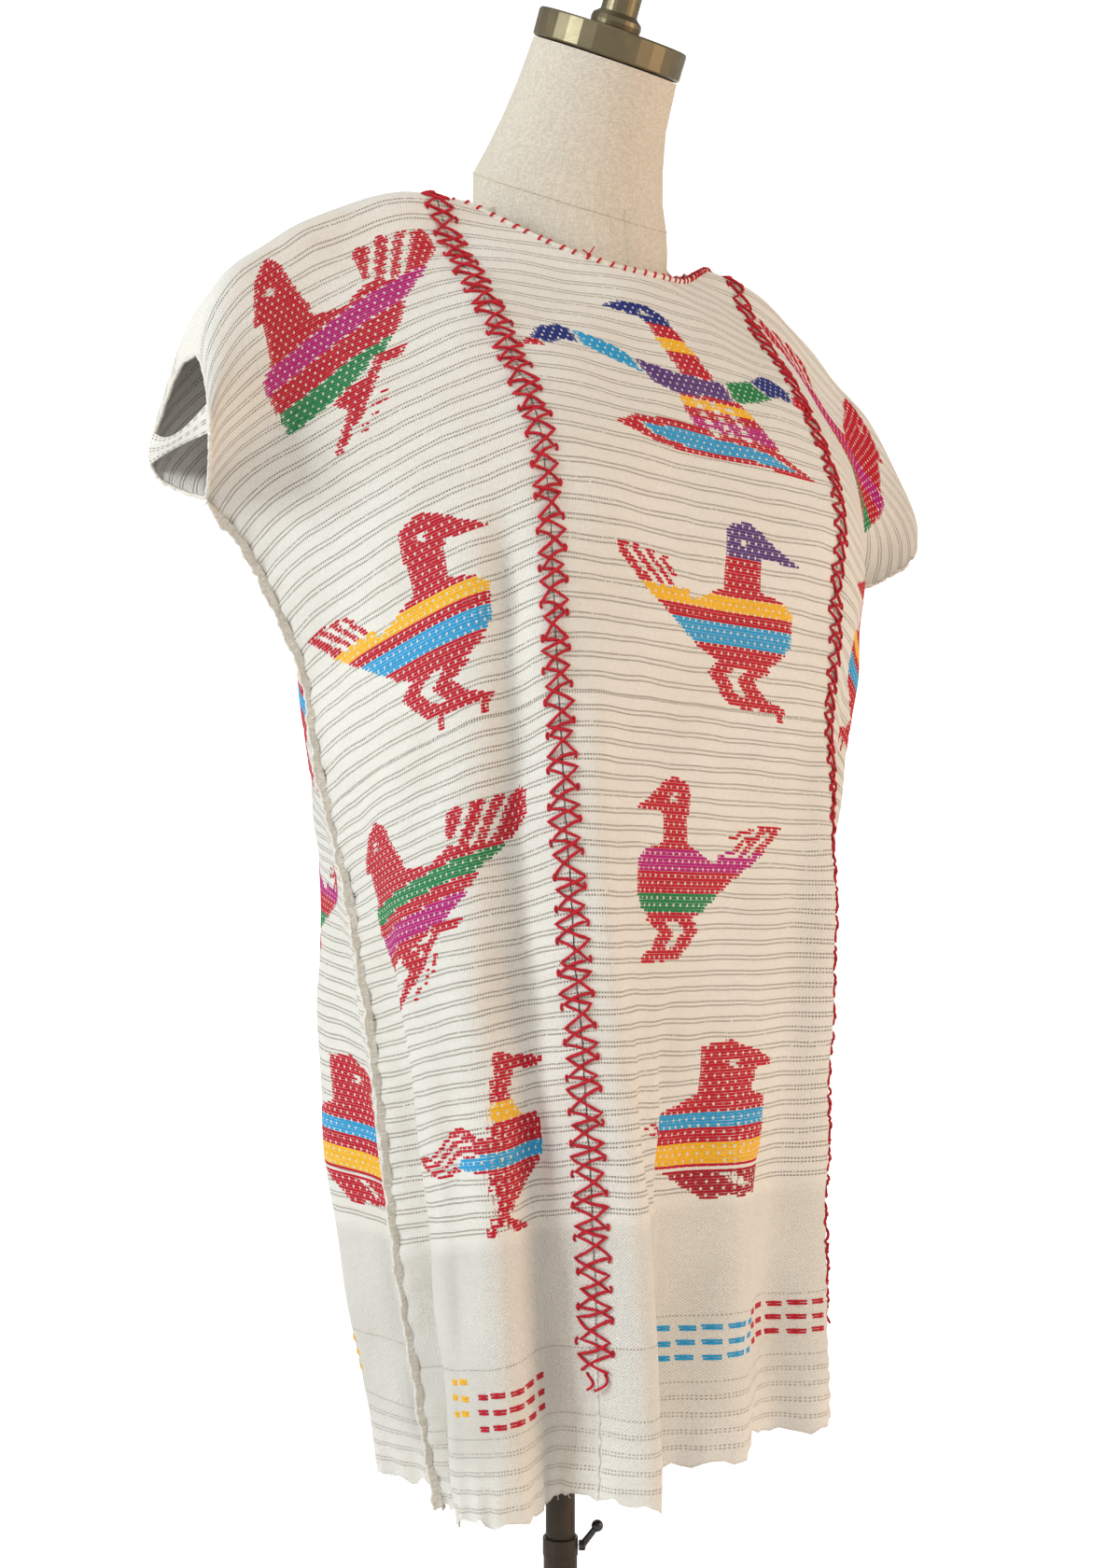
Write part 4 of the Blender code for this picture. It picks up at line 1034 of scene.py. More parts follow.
def stout() -> Chart:
    """A stout bird with a big head and a small tail."""
    head = [(54, 4), (64, 2), (72, 0), (80, 4), (90, 8), (100, 14), (98, 19), (91, 18), (87, 22),
            (86, 36), (54, 36)]
    body = [(54, 33), (86, 33), (95, 37), (95, 66), (91, 77), (34, 77), (28, 71), (28, 45),
            (38, 40)]
    tail = [(0, 45), (7, 48), (12, 44), (17, 48), (22, 43), (29, 46), (29, 60), (20, 58), (10, 53)]
    legs = [[(38, 79), (90, 79), (91, 94), (86, 98), (82, 94), (76, 97), (70, 94), (64, 98),
             (58, 96), (52, 90)]]
    gaps = [[(66, 80), (68, 80), (80, 90), (78, 90)], [(8, 48), (10, 48), (24, 58), (22, 58)],
            [(16, 48), (18, 48), (28, 55), (26, 55)]]
    return Chart([("fan", tail), ("body", body), ("head", head)]
                 + [("leg", leg) for leg in legs], gaps, (74, 15))


def eagle() -> Chart:
    """A bird seen from the front with spread wings and a boat-shaped tail."""
    head = [(29, 5), (33, 1), (38, -1), (44, 0), (49, 5), (51, 14), (42, 14), (38, 9), (33, 8)]
    parts = [
        ("head", head),
        ("neck", [(41, 13), (51, 13), (60, 50), (48, 50)]),
        ("wing_tip", [(0, 48), (3, 42), (9, 43), (6, 49)]),
        ("wing_navy", [(3, 42), (8, 32), (14, 28), (21, 32), (22, 40), (14, 40), (8, 46)]),
        ("wing_blue", [(17, 30), (26, 35), (37, 43), (38, 53), (26, 47), (18, 41)]),
        ("wing_purple", [(33, 41), (46, 46), (56, 48), (64, 44), (67, 57), (56, 63), (46, 63),
                         (37, 57)]),
        ("wing_green", [(62, 45), (70, 40), (78, 35), (80, 48), (72, 55), (64, 59)]),
        ("wing_navy", [(73, 38), (79, 30), (85, 30), (89, 35), (94, 41), (91, 47), (84, 44),
                       (79, 48)]),
        ("wing_tip", [(90, 37), (100, 45), (98, 49), (89, 46)]),
        ("slats", [(44, 61), (66, 58), (75, 87), (48, 87)]),
        ("boat", [(20, 91), (28, 83), (44, 80), (58, 82), (72, 86), (86, 100), (86, 101),
                  (62, 100), (44, 100), (30, 97)]),
        ("boat_band", [(29, 88), (44, 85), (58, 87), (70, 91), (80, 98), (62, 97), (44, 96),
                       (32, 93)]),
    ]
    gaps = slats([(50, 62), (50.6, 62), (55.2, 86), (54.6, 86)], (5.0, 0), 3)
    return Chart(parts, gaps, (42, 6))


@dataclass
class Figure:
    """A brocaded figure: a chart laid on the cloth in its own colours.

    Attributes:
        chart: What it shows.
        place: Lowest s, highest s, top and bottom in metres down.
        layer: 1 on the front, -1 on the back.
        faces_left: Whether it faces -s on the front.
        threads: Colour of each part; "all" for the others.
        bands: Top, bottom and colour of each band across body and tail.
        tilt: How far the bands fall for each step towards the head.
    """

    chart: Chart
    place: tuple[float, float, float, float]
    layer: int = 1
    faces_left: bool = False
    threads: dict[str, Thread] = field(default_factory=dict)
    bands: tuple[tuple[float, float, Thread], ...] = ()
    tilt: float = 0.0

    ROW = 0.0021
    STEP = 0.0024

    def cells(self) -> tuple[Places, Places, Places, Places]:
        """s and depth of the cells' middles, whether each is worked, and its colour."""
        low, high, top, bottom = self.place
        across = np.arange(low, high, self.STEP) + self.STEP / 2
        down = np.arange(top, bottom, self.ROW) + self.ROW / 2
        s, depth = np.meshgrid(across, down)
        x = (s - low) / (high - low) * 100
        if self.faces_left:
            x = 100 - x
        y = (depth - top) / (bottom - top) * 100
        worked = np.zeros(s.shape, dtype=bool)
        colour = np.zeros(s.shape + (3,))
        for part, outline in self.chart.parts:
            hit = inside(outline, x, y)
            worked |= hit
            colour[hit] = self.threads.get(part, self.threads.get("all", Thread.RED)).value
            if part in ("body", "tail", "neck", "slats"):
                for band_top, band_bottom, thread in self.bands:
                    level_y = y + self.tilt * (x - 60)
                    colour[hit & (level_y >= band_top) & (level_y < band_bottom)] = thread.value
        for gap in self.chart.gaps:
            worked &= ~inside(gap, x, y)
        if self.chart.eye:
            eye_x, eye_y = self.chart.eye
            width, height = (high - low) / 100, (bottom - top) / 100
            far = np.hypot((x - eye_x) * width, (y - eye_y) * height)
            worked &= ~((far > 0.0014) & (far < 0.0029))
        return s, depth, worked, colour

    def add_to(self, piece: Piece) -> None:
        """Adds the figure's rows of raised floats to a piece."""
        s, depth, worked, colour = self.cells()
        half_row, half_step = self.ROW * 0.49, self.STEP / 2
        profile_v = np.array([-1.0, -0.55, 0.55, 1.0]) * half_row
        profile_h = np.array([0.00035, 0.00085, 0.00085, 0.00035])
        for j in range(s.shape[0]):
            i = 0
            while i < s.shape[1]:
                if not worked[j, i]:
                    i += 1
                    continue
                k = i
                while (k + 1 < s.shape[1] and worked[j, k + 1]
                       and (colour[j, k + 1] == colour[j, i]).all()):
                    k += 1
                self.run(piece, s[j, i] - half_step, s[j, k] + half_step, depth[j, i],
                         colour[j, i], profile_v, profile_h)
                i = k + 1

    def run(self, piece: Piece, start: float, end: float, depth: float, colour: Places,
            profile_v: Places, profile_h: Places) -> None:
        """Adds one float of thread across the cloth."""
        jag = 0.0005 * math.sin(depth * 9100 + start * 700)
        spots = np.linspace(start + jag, end + jag, 2 + int((end - start) / 0.006))
        height = np.tile(profile_h, (len(spots), 1))
        height[0] = height[-1] = 0.0003
        s = np.repeat(spots[:, None], 4, axis=1)
        v = self.layer * (depth + np.repeat(profile_v[None, :], len(spots), axis=0))
        piece.strip(s, v, height, colour, self.layer < 0)


def dashes(piece: Piece, first: float, count: int, rows: Iterable[float], thread: Thread,
           layer: int = 1) -> None:
    """Adds rows of short brocaded dashes, a count of them from the first place across."""
    figure = Figure(Chart([]), (0, 0, 0, 0), layer)
    profile_v = np.array([-1.0, -0.6, 0.6, 1.0]) * 0.00105
    profile_h = np.array([0.0003, 0.0013, 0.0013, 0.0003])
    for depth in rows:
        for k in range(count):
            start = first + k * DASH
            end = start + DASH - 0.0022
            jolt = 0.0004 * math.sin(depth * 5000 + k * 2.3)
            for row in (-0.0010, 0.0010):
                figure.run(piece, start + jolt + row * 0.3, end, depth + row + jolt,
                           np.array(thread.value), profile_v, profile_h)


# Layout of the figures: the centre panel's first row, the step from row to row, how much higher
# the side panels' rows sit, and their first row, which starts by the shoulder.
FIRST_ROW = 0.095
ROW_STEP = 0.178
SIDE_RISE = 0.015
SHOULDER_ROW = 0.020
# Width and height of each size of figure.
SPREAD, TALL, LONG = (0.270, 0.135), (0.160, 0.170), (0.180, 0.140)
MEDIUM, SMALL, SHORT = (0.170, 0.135), (0.150, 0.130), (0.140, 0.115)
SLIM = (0.135, 0.125)
# The dashes: their pitch, the rows' pitch and top, and each group's start, count, drop and thread.
DASH = 0.012
DASH_ROW = 0.0105
DASH_TOP = 0.830


def placed(row: int, middle: float, size: tuple[float, float]
           ) -> tuple[float, float, float, float]:
    """Lowest s, highest s, top and bottom of a figure.

    Args:
        row: Its row, from 0 at the top.
        middle: s of its middle.
        size: Its width and height.
    """
    wide, tall = size
    top = FIRST_ROW + row * ROW_STEP
    if abs(middle) > RANDA:
        top = top - SIDE_RISE if row else SHOULDER_ROW
    return middle - wide / 2, middle + wide / 2, top, top + tall


def front_figures() -> list[Figure]:
    """The figures on the front of the three panels."""
    red, magenta, green = Thread.RED, Thread.MAGENTA, Thread.GREEN
    yellow, blue, purple, navy = Thread.YELLOW, Thread.BLUE, Thread.PURPLE, Thread.NAVY
    warm = ((39, 46, yellow), (53, 63, blue))
    cool = ((37, 48, magenta), (60, 70, green))
    first = ((40, 51, magenta), (63, 76, green))
    spread = {"head": navy, "wing_tip": red, "wing_navy": navy, "wing_blue": blue,
              "wing_purple": purple, "wing_green": green, "boat": red, "boat_band": blue}
    feet = {"leg": Thread.CRIMSON}
    return [
        Figure(eagle(), placed(0, .010, SPREAD), threads=spread,
               bands=((22, 31, yellow), (62, 69, yellow), (74, 86, magenta))),
        Figure(walker(), placed(1, 0, MEDIUM), threads={"head": purple}, bands=warm),
        Figure(walker(), placed(2, .005, SMALL), faces_left=True, bands=cool),
        Figure(stout(), placed(3, .005, SHORT), threads=feet,
               bands=((43, 53, blue), (62, 74, yellow))),
        Figure(riser(), placed(0, -.230, TALL), faces_left=True, tilt=-0.16, bands=first),
        Figure(walker(), placed(1, -.270, LONG), bands=warm),
        Figure(riser(), placed(2, -.255, LONG), faces_left=True, tilt=-0.12,
               bands=((41, 50, green), (57, 68, magenta))),
        Figure(heron(), placed(3, -.230, SLIM), bands=((31, 41, yellow), (55, 64, blue))),
        Figure(riser(), placed(0, .230, TALL), tilt=-0.16, bands=first),
        Figure(walker(), placed(1, .265, LONG), faces_left=True, bands=warm),
        Figure(walker(), placed(2, .245, LONG), bands=cool),
        Figure(stout(), placed(3, .235, SLIM), faces_left=True, threads=feet,
               bands=((43, 53, yellow), (62, 74, blue))),
    ]


def back_figures() -> list[Figure]:
    """The figures on the back, in the same kinds and order."""
    yellow, blue = Thread.YELLOW, Thread.BLUE
    warm = ((39, 46, yellow), (53, 63, blue))
    cool = ((37, 48, Thread.MAGENTA), (60, 70, Thread.GREEN))
    last = ((43, 53, blue), (62, 74, yellow))
    spread = {"head": Thread.NAVY, "wing_navy": Thread.NAVY, "wing_blue": blue,
              "wing_purple": Thread.PURPLE, "wing_green": Thread.GREEN, "boat_band": blue}
    feet = {"leg": Thread.CRIMSON}
    made = [
        Figure(eagle(), placed(0, 0, SPREAD), -1, False, spread,
               ((22, 31, yellow), (62, 69, yellow))),
        Figure(walker(), placed(1, 0, MEDIUM), -1, True, {"head": Thread.PURPLE}, warm),
        Figure(walker(), placed(2, 0, SMALL), -1, False, {}, cool),
        Figure(stout(), placed(3, 0, SHORT), -1, True, feet, last),
    ]
    kinds = [(walker(), .230, TALL, cool), (walker(), .265, LONG, warm),
             (walker(), .275, SMALL, cool), (stout(), .275, SHORT, last)]
    for sign in (-1, 1):
        for row, (chart, middle, size, bands) in enumerate(kinds):
            left = (row % 2 == 0) == (sign > 0)
            made.append(Figure(chart, placed(row, sign * middle, size), -1, left, {}, bands))
    return made


def brocade(finish: bpy.types.Material, plain: bpy.types.Material) -> list[bpy.types.Object]:
    """The brocaded figures and the dashes, in pieces for the front and for the back."""
    made = []
    for name, figures, layer in (("brocade_front", front_figures(), 1),
                                 ("brocade_back", back_figures(), -1)):
        piece = Piece()
        for figure in figures:
            figure.add_to(piece)
        made.append(piece.build(name, finish))
        piece = Piece()
        groups = [(-.265, 2, 0, Thread.YELLOW), (-.235, 5, .010, Thread.RED),
                  (-.065, 2, .025, Thread.RED), (-.015, 6, 0, Thread.BLUE),
                  (.065, 5, 0, Thread.RED), (.165, 5, .010, Thread.BLUE),
                  (.260, 2, 0, Thread.YELLOW)]
        for start, count, drop, thread in groups:
            rows = [DASH_TOP + drop + k * DASH_ROW for k in range(3)]
            dashes(piece, start, count, rows, thread, layer)
        made.append(piece.build(name.replace("brocade", "dashes"), plain))
    return made


# ------------------------------------------------------------------ stitching
@dataclass
class Lattice:
    """A corded lattice seam over two panels' edges.

    Attributes:
        node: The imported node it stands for.
        middle: s of the seam.
        seed: Sets its unevenness.
    """

    node: str
    middle: float
    seed: float

    TURNS = 78
    HALF = 0.0100
    CORD = 0.00108

    def strand(self, piece: Piece, phase: float) -> None:
        """Adds one zigzag cord, which crosses the other in the middle."""
        half = RANDA_END / self.TURNS
        turns = []
        for k in range(2 * self.TURNS + 1):
            v = -RANDA_END + half * k
            side = 1 if (k + phase) % 2 else -1
            slip = 0.0019 * math.sin(k * 2.7 + self.seed) + 0.0013 * math.sin(k * 1.3 + phase)
            reach = self.HALF * (1 + 0.13 * math.sin(k * 1.9 + 2 * self.seed))
            turns.append((self.middle + side * reach, v + slip))
        path_s, path_v, lift = [], [], []
        for (s0, v0), (s1, v1) in zip(turns, turns[1:]):
            for u in np.linspace(0, 1, 7)[:-1]:
                bow = math.sin(math.pi * u)
                path_s.append(s0 + (s1 - s0) * u)
                path_v.append(v0 + (v1 - v0) * u + 0.0016 * bow * (1 if phase else -1))
                lift.append(0.0010 + 0.0013 * bow * (1.30 if phase else 0.35))
        s, v = np.array(path_s), np.array(path_v)
        s = s + 0.0004 * wobble(v, self.seed + phase, 0.011)
        thick = self.CORD * (1 + 0.16 * wobble(v, 5 + self.seed, 0.019))
        piece.tube(laid(s, v, np.array(lift)), outward(s, v), thick, 6)

    def anchors(self, piece: Piece) -> None:
        """Adds the short stitches that hold each turn to the cloth."""
        k = np.arange(2 * self.TURNS)
        v = -RANDA_END + RANDA_END / self.TURNS * k + 0.0019 * np.sin(k * 2.7 + self.seed)
        side = np.where(k % 2, 1, -1)[:, None]
        u = np.linspace(0, 1, 4)[None, :]
        s = self.middle + side * (self.HALF * 0.99 + 0.0011 * np.sin(math.pi * u))
        path_v = v[:, None] + (u - 0.5) * 0.0046
        for path, ups in zip(laid(s, path_v, 0.0009), outward(s, path_v)):
            piece.tube(path, ups, self.CORD * 0.95, 5)

    def tails(self, piece: Piece) -> None:
        """Adds the loose ends below the last stitch on each layer."""
        for layer in (-1, 1):
            for k in range(2):
                u = np.linspace(0, 1, 9)
                s = self.middle + (k - 0.5) * 0.010 + 0.006 * np.sin(3 * u + k) * u
                v = layer * (RANDA_END + 0.001 + 0.011 * u)
                lift = 0.0010 + 0.003 * u * (0.6 + 0.4 * k)
                piece.tube(laid(s, v, lift), outward(s, v), self.CORD * 0.9, 5)

    def build(self, finish: bpy.types.Material) -> bpy.types.Object:
        """The lattice as one piece."""
        piece = Piece()
        for phase in (0, 1):
            self.strand(piece, phase)
        self.anchors(piece)
        self.tails(piece)
        made = piece.build(f"{self.node}_lattice", finish)
        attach(made, "figure")
        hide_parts(self.node)
        return made


def neck_loop(count: int = 360, inset: float = 0.0) -> tuple[Places, Places]:
    """s and v round the neck opening, moved inward by inset."""
    turn = np.linspace(0, 2 * math.pi, count, endpoint=False)
    s = NECK_HALF * np.sin(turn)
    front = np.cos(turn) >= 0
    v = np.where(front, neck_edge_row(s, 1), neck_edge_row(s, -1))
    move_s = np.gradient(np.concatenate([s[-1:], s, s[:1]]))[1:-1]
    move_v = np.gradient(np.concatenate([v[-1:], v, v[:1]]))[1:-1]
    size = np.hypot(move_s, move_v) + 1e-12
    return s + inset * move_v / size * 1.0, v - inset * move_s / size * 1.0


@dataclass
class NeckEdge:
    """The rolled neck edge with its slanting red stitches and knot."""

    roll: float = 0.0018
    stitch_pitch: float = 0.0091

    def build(self, cream: bpy.types.Material, red: bpy.types.Material) -> None:
        """Builds the roll and the stitches."""
        s, v = neck_loop(420, 0.0012)
        inside_edge = np.abs(s) < NECK_HALF - 0.0012
        s, v = s[inside_edge], v[inside_edge]
        path = laid(s, v, 0.0004)
        ups = outward(s, v)
        piece = Piece()
        along = np.concatenate([[0], np.cumsum(np.linalg.norm(np.diff(path, axis=0), axis=1))])
        size = self.roll * (1 + 0.10 * wobble(along, 1.0, 0.023))
        piece.tube(path, ups, size, 10, closed=True)
        made = piece.build("neck_edge_roll", cream)
        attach(made, "figure")
        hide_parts("neck_edge")
        self.stitches(path, ups, along, red)

    def stitches(self, path: Places, ups: Places, along: Places, red: bpy.types.Material) -> None:
        """Adds whip stitches round the roll and the knot with loose ends."""
        piece = Piece()
        at, k = 0.003, 0
        while at < along[-1] - 0.004:
            i = int(np.searchsorted(along, at))
            i = min(max(i, 1), len(path) - 2)
            centre = path[i]
            tangent = path[i + 1] - path[i - 1]
            tangent /= np.linalg.norm(tangent)
            up = ups[i]
            side = np.cross(tangent, up)
            side /= np.linalg.norm(side)
            turn = np.linspace(-0.35, 1.22, 9) * math.pi
            reach = self.roll * 1.17
            slant = 0.0014 + 0.0005 * math.sin(k * 1.7)
            line = np.array([centre + reach * (math.cos(a) * side + math.sin(a) * up)
                             + tangent * slant * (a / math.pi - 0.4) * 1.6 for a in turn])
            line[0] += side * 0.0010 - up * 0.0003
            line[-1] += -side * 0.0016 - up * 0.0002
            rings = np.array([(p - centre) / np.linalg.norm(p - centre) for p in line])
            piece.tube(line, rings, 0.00088, 5)
            dense = path[i][0] > 0.075
            at += self.stitch_pitch * ((0.62 if dense else 1.0) + 0.22 * math.sin(k * 2.9))
            k += 1
        self.knot(piece)
        made = piece.build("neck_stitches", red)
        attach(made, "figure")

    def knot(self, piece: Piece) -> None:
        """Adds the knot and two short ends, a little right of the middle of the front."""
        s = np.array([-0.038])
        v = neck_edge_row(s, 1) - 0.001
        spot, up = laid(s, v, 0.0026)[0], outward(s, v)[0]
        side = np.cross(up, (0, 0, 1.0))
        side /= np.linalg.norm(side)
        turn = np.linspace(0, 4 * math.pi, 22)
        ball = np.array([spot + 0.0011 * (math.cos(a) * side + math.sin(a) * np.array((0, 0, 1.0)))
                         + up * 0.0004 * math.sin(1.5 * a) for a in turn])
        piece.tube(ball, np.tile(up, (len(ball), 1)), 0.0006, 5)
        for lean, rise in ((-0.6, 1.0), (0.9, 0.35)):
            u = np.linspace(0, 1, 7)
            line = (spot + np.outer(u * 0.006 * lean, side) + np.outer(u * 0.0055 * rise, (0, 0, 1.0))
                    + np.outer(np.sin(2 * u) * 0.0012, up))
            piece.tube(line, np.tile(up, (7, 1)), 0.0005, 5)


@dataclass
class SideSeam:
    """The turned-out selvedges of a side seam, whipped together below the sleeve.

    Attributes:
        node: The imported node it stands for.
        sign: -1 on the wearer's right, 1 on the left.
    """

    node: str
    sign: int

    def edge(self, count: int) -> tuple[Places, Places, Places]:
        """Depths, places and outward directions down the seam."""
        depth = np.linspace(UNDERARM + 0.002, LENGTH - 0.002, count)
        s = np.full(count, self.sign * SIDE)
        return depth, cloth(s, depth), seam_outward(s, depth)

    def build(self, cream: bpy.types.Material) -> None:
        """Builds the flange of two selvedges and the thread that joins them."""
        depth, edge, out = self.edge(400)
        along = np.gradient(edge, axis=0)
        along /= np.linalg.norm(along, axis=1, keepdims=True)
        flat = np.cross(along, out)
        flat /= np.linalg.norm(flat, axis=1, keepdims=True)
        reach = 0.0058 + 0.0011 * wobble(depth, 2.0 + self.sign, 0.034)
        reach = reach + 0.0005 * wobble(depth, 4.0, 0.009)
        reach *= smooth_step(UNDERARM, UNDERARM + 0.03, depth) * 0.7 + 0.3
        sway = 0.0009 * wobble(depth, 1.1 * self.sign, 0.052)
        piece = Piece()
        for side in (-1, 1):
            rows = []
            for share, thick in ((0.0, 0.0010), (0.5, 0.0007), (1.0, 0.0009)):
                spot = edge + out * (0.0004 + reach * share)[:, None]
                spot = spot + flat * (side * thick + sway * share)[:, None]
                rows.append(spot)
            outer = np.stack(rows, axis=1)
            piece.grid(outer, flip=side > 0)
        rim = edge + out * (0.0004 + reach)[:, None] + flat * sway[:, None]
        piece.tube(rim, flat, 0.00115 * (1 + 0.18 * wobble(depth, 3.0, 0.013)), 6)
        step = 0.0072
        for k in range(int((depth[-1] - depth[0]) / step)):
            i = int(k * step / (depth[-1] - depth[0]) * (len(depth) - 1)) + 1
            i = min(i, len(depth) - 3)
            turn = np.linspace(-0.15, 1.15, 8) * math.pi
            mid = edge[i] + out[i] * 0.0022
            line = np.array([mid + flat[i] * 0.0019 * math.cos(a) + out[i] * 0.0026 * math.sin(a)
                             - along[i] * 0.0016 * (a / math.pi) for a in turn])
            piece.tube(line, np.tile(along[i], (8, 1)), 0.00042, 5)
        made = piece.build(f"{self.node}_flange", cream)
        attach(made, "figure")
        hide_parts(self.node)

    def sleeve(self, cream: bpy.types.Material) -> None:
        """Builds the thick wavy selvedge round the sleeve opening."""
        v = np.linspace(-UNDERARM, UNDERARM, 260)
        s = self.sign * (SIDE - 0.0004 + 0.0009 * wobble(v, 2.4 * self.sign, 0.031))
        path, ups = laid(s, v), outward(s, v)
        size = 0.0014 * (1 + 0.24 * wobble(v, 1.9, 0.012))
        piece = Piece()
        piece.tube(path, ups, size, 8)
        made = piece.build(f"sleeve_edge_{'left' if self.sign > 0 else 'right'}", cream)
        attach(made, "figure")


def sleeve_tab(sign: int, finish: bpy.types.Material) -> None:
    """Builds the short tab of cloth that ties a sleeve's two selvedges together.

    Args:
        sign: -1 for the wearer's right sleeve, 1 for the left.
        finish: The cloth's material.
    """
    across, down = np.linspace(0, 1, 13), np.linspace(0.052, 0.082, 9)
    s = np.full(down.shape, sign * (SIDE - 0.001))
    front, back = laid(s, down), laid(s, -down)
    rows = []
    for u in across:
        drop = 0.006 * math.sin(math.pi * u)
        pinch = (down - down.mean()) * (-0.35 * math.sin(math.pi * u))
        row = front + (back - front) * u
        row[:, 0] += sign * 0.004 * math.sin(math.pi * u)
        row[:, 2] += -drop - pinch
        rows.append(row)
    piece = Piece()
    outer = np.array(rows)
    out = np.array((sign * 0.0010, 0, 0))
    for places, flip in ((outer + out, sign > 0), (outer, sign < 0)):
        piece.grid(places, flip=flip)
        spots = [(sign * (SIDE + 0.02 * u), v) for u in across for v in down]
        piece.cloth_map.extend(spots)
    made = piece.build(f"sleeve_tab_{'left' if sign > 0 else 'right'}", finish)
    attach(made, "figure")


def loose_threads(cream: bpy.types.Material) -> None:
    """Builds the frayed ends along the hem and under the sleeves."""
    piece = Piece()
    stream = np.random.default_rng(11)
    for layer in (-1, 1):
        across = np.linspace(-SIDE + 0.004, SIDE - 0.004, 150) + stream.uniform(-.002, .002, 150)
        feet = laid(across, layer * (LENGTH + hem_edge(across, layer)))
        for foot in feet:
            long = stream.uniform(0.001, 0.0035)
            if stream.uniform() < 0.07:
                long = stream.uniform(0.007, 0.017)
            u = np.linspace(0, 1, 5)[:, None]
            lean = np.array((stream.uniform(-0.5, 0.5), stream.uniform(-0.5, 0.5), -1.0))
            curl = np.array((stream.uniform(-0.4, 0.4), stream.uniform(-0.4, 0.4), 0.1))
            line = foot + long * (u * lean + u**2 * curl)
            piece.tube(line, np.tile((1.0, 0.0, 0.0), (5, 1)), 0.00022, 4)
    for sign in (-1, 1):
        base = cloth(np.array([sign * SIDE]), np.array([UNDERARM]))[0]
        u = np.linspace(0, 1, 9)[:, None]
        line = base + u * np.array((sign * 0.004, -0.006, 0.004)) + np.sin(5 * u) * 0.002
        piece.tube(line, np.tile((1.0, 0.0, 0.0), (9, 1)), 0.00035, 4)
    for s0 in (-RANDA, RANDA):
        for layer in (-1, 1):
            v = layer * np.linspace(RANDA_END - 0.012, LENGTH - 0.002, 60)
            s = s0 + 0.0007 * wobble(v, 3.1, 0.012)
            piece.tube(laid(s, v, 0.0004), outward(s, v), 0.0013, 6)
    made = piece.build("loose_threads", cream)
    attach(made, "figure")


# ------------------------------------------------------------------ dress form
def form_seams(finish: bpy.types.Material) -> None:
    """Builds the sewn lines on the dress form: round the neck's foot and down the front."""
    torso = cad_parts["form_torso"].data
    shell = BVHTree.FromPolygons([v.co for v in torso.vertices],
                                 [tuple(p.vertices) for p in torso.polygons])
    piece = Piece()
    centre = Vector((0, -0.013, 1.415))
    tilt = math.radians(28)
    ring, ups = [], []
    for k in range(120):
        turn = 2 * math.pi * k / 120
        way = Vector((math.cos(turn), math.sin(turn) * math.cos(tilt),
                      math.sin(turn) * math.sin(tilt)))
        spot = shell.ray_cast(centre, way)[0]
        ring.append(spot + way * 0.0001)
        ups.append(way)
    piece.tube(np.array(ring), np.array(ups), 0.0006, 5, closed=True)
    for heading in (-math.pi / 2,):
        line, ups = [], []
        for height in np.linspace(1.388, 1.300, 24):
            axis = Vector((0, -0.016, float(height)))
            way = Vector((math.cos(heading), math.sin(heading), 0))
            spot = shell.ray_cast(axis, way)[0]
            line.append(spot + way * 0.0001)
            ups.append(way)
        piece.tube(np.array(line), np.array(ups), 0.0006, 5)
    made = piece.build("form_seams", finish)
    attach(made, "figure")


def stand_finishes(bronze: bpy.types.Material, pole: bpy.types.Material,
                   enamel: bpy.types.Material, linen: bpy.types.Material) -> None:
    """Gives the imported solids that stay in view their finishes."""
    finishes = {"form_torso": linen, "clamp_lever": enamel, "neck_cap": bronze, "finial": bronze}
    for name in ("form_torso", "clamp_lever", "stand_base", "outer_tube", "mast", "form_socket",
                 "neck_cap", "finial"):
        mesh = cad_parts[name].data
        mesh.materials.clear()
        mesh.materials.append(finishes.get(name, pole))


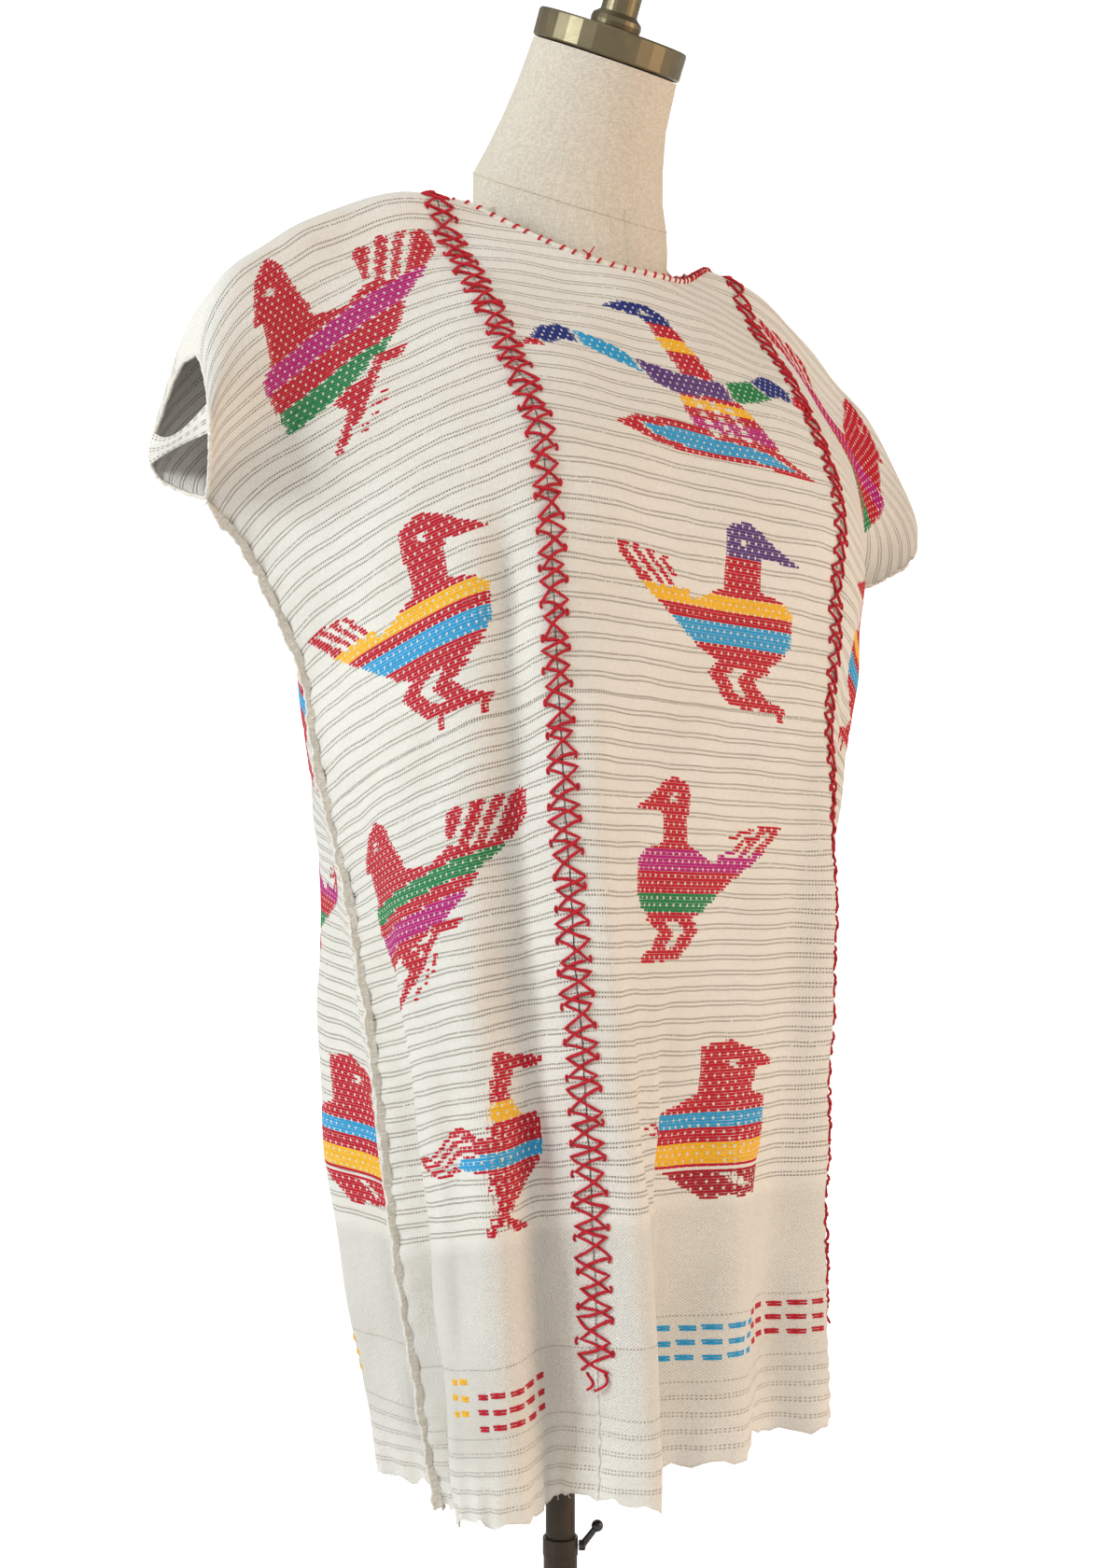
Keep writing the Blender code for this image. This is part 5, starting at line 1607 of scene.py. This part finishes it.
# ------------------------------------------------------------------ studio
@dataclass
class Studio:
    """White sweep, soft lights and camera."""

    radius: float = 3.6
    wall: float = 4.2

    def sweep(self, finish: bpy.types.Material) -> None:
        """Builds a round floor that curves up into a wall."""
        profile = [(0.0, 0.0), (1.2, 0.0), (2.4, 0.0)]
        for k in range(1, 13):
            turn = k / 12 * math.pi / 2
            profile.append((2.4 + 1.2 * math.sin(turn), 1.2 * (1 - math.cos(turn))))
        profile.append((self.radius, self.wall))
        turns = np.linspace(0, 2 * math.pi, 97)[:-1]
        rows = [[(r * math.cos(a), r * math.sin(a), z) for a in turns] for r, z in profile[1:]]
        piece = Piece()
        piece.grid(np.array(rows) - np.array((0, 0, 0.0003)), closed=True, flip=True)
        piece.faces.append(tuple(reversed(range(96))))
        made = piece.build("sweep", finish)

    def light(self, name: str, place: Sequence[float], target: Sequence[float], size: float,
              power: float, colour: Colour) -> None:
        """Adds a square area light aimed at a target."""
        lamp = bpy.data.lights.new(name, "AREA")
        lamp.size = size
        lamp.energy = power
        lamp.color = colour
        made = bpy.data.objects.new(name, lamp)
        made.location = place
        aim = Vector(target) - Vector(place)
        made.rotation_euler = aim.to_track_quat("-Z", "Y").to_euler()
        bpy.context.scene.collection.objects.link(made)

    def lights(self) -> None:
        """Cool key from the left of the camera, warm fill and a soft top."""
        middle = (0, 0, 1.0)
        self.light("key", (-2.9, 0.15, 1.9), middle, 0.9, 49, (0.85, 0.94, 1.0))
        self.light("fill", (1.9, -2.4, 1.2), middle, 1.4, 33, (1.0, 0.70, 0.46))
        self.light("back", (1.8, 2.2, 1.9), middle, 1.8, 12, (1.0, 0.95, 0.90))
        self.light("top", (-0.6, -0.6, 3.6), middle, 2.4, 14, (1.0, 0.98, 0.96))
        world = bpy.data.worlds.new("studio")
        world.use_nodes = True
        back = world.node_tree.nodes["Background"]
        back.inputs[0].default_value = (1.0, 1.0, 1.0, 1)
        back.inputs[1].default_value = 0.27
        bpy.context.scene.world = world

    def camera(self) -> None:
        """Level view from the wearer's right front, at chest height."""
        lens = bpy.data.cameras.new("camera")
        lens.sensor_fit = "VERTICAL"
        lens.sensor_height = 36
        lens.lens = 39.64
        lens.shift_y = 0.0863
        made = bpy.data.objects.new("camera", lens)
        made.location = (-0.755, -1.058, 0.88)
        made.rotation_euler = (math.radians(90), 0, math.radians(-35.5))
        bpy.context.scene.collection.objects.link(made)
        bpy.context.scene.camera = made

    def build(self, finish: bpy.types.Material) -> None:
        """Builds all of it."""
        bpy.context.scene.view_settings.view_transform = "Standard"
        self.sweep(finish)
        self.lights()
        self.camera()


def main() -> None:
    """Builds every piece in view."""
    logging.basicConfig(level=logging.INFO)
    groups = Groups()
    cotton, cream = COTTON.build(groups), ROLLED.build(groups)
    red, linen = RED_CORD.build(groups), LINEN.build(groups)
    panels = [Panel("panel_centre", -RANDA + .0004, RANDA - .0004, 0.27),
              Panel("panel_right", -SIDE, -RANDA - .0004, 0.24),
              Panel("panel_left", RANDA + .0004, SIDE, 0.24)]
    for panel in panels:
        panel.build(cotton)
    for made in brocade(BROCADE.build(groups), DASHES.build(groups)):
        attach(made, "figure")
    Lattice("randa_right", -RANDA, 0.4).build(red)
    Lattice("randa_left", RANDA, 1.9).build(red)
    NeckEdge().build(cream, red)
    for seam in (SideSeam("side_seam_right", -1), SideSeam("side_seam_left", 1)):
        seam.build(cream)
        seam.sleeve(cream)
        sleeve_tab(seam.sign, cotton)
    loose_threads(cream)
    form_seams(SEAM_THREAD.build(groups))
    stand_finishes(BRONZE.build(groups), POLE.build(groups), ENAMEL.build(groups), linen)
    Studio().build(SWEEP.build(groups))


if __name__ == "__main__":
    main()
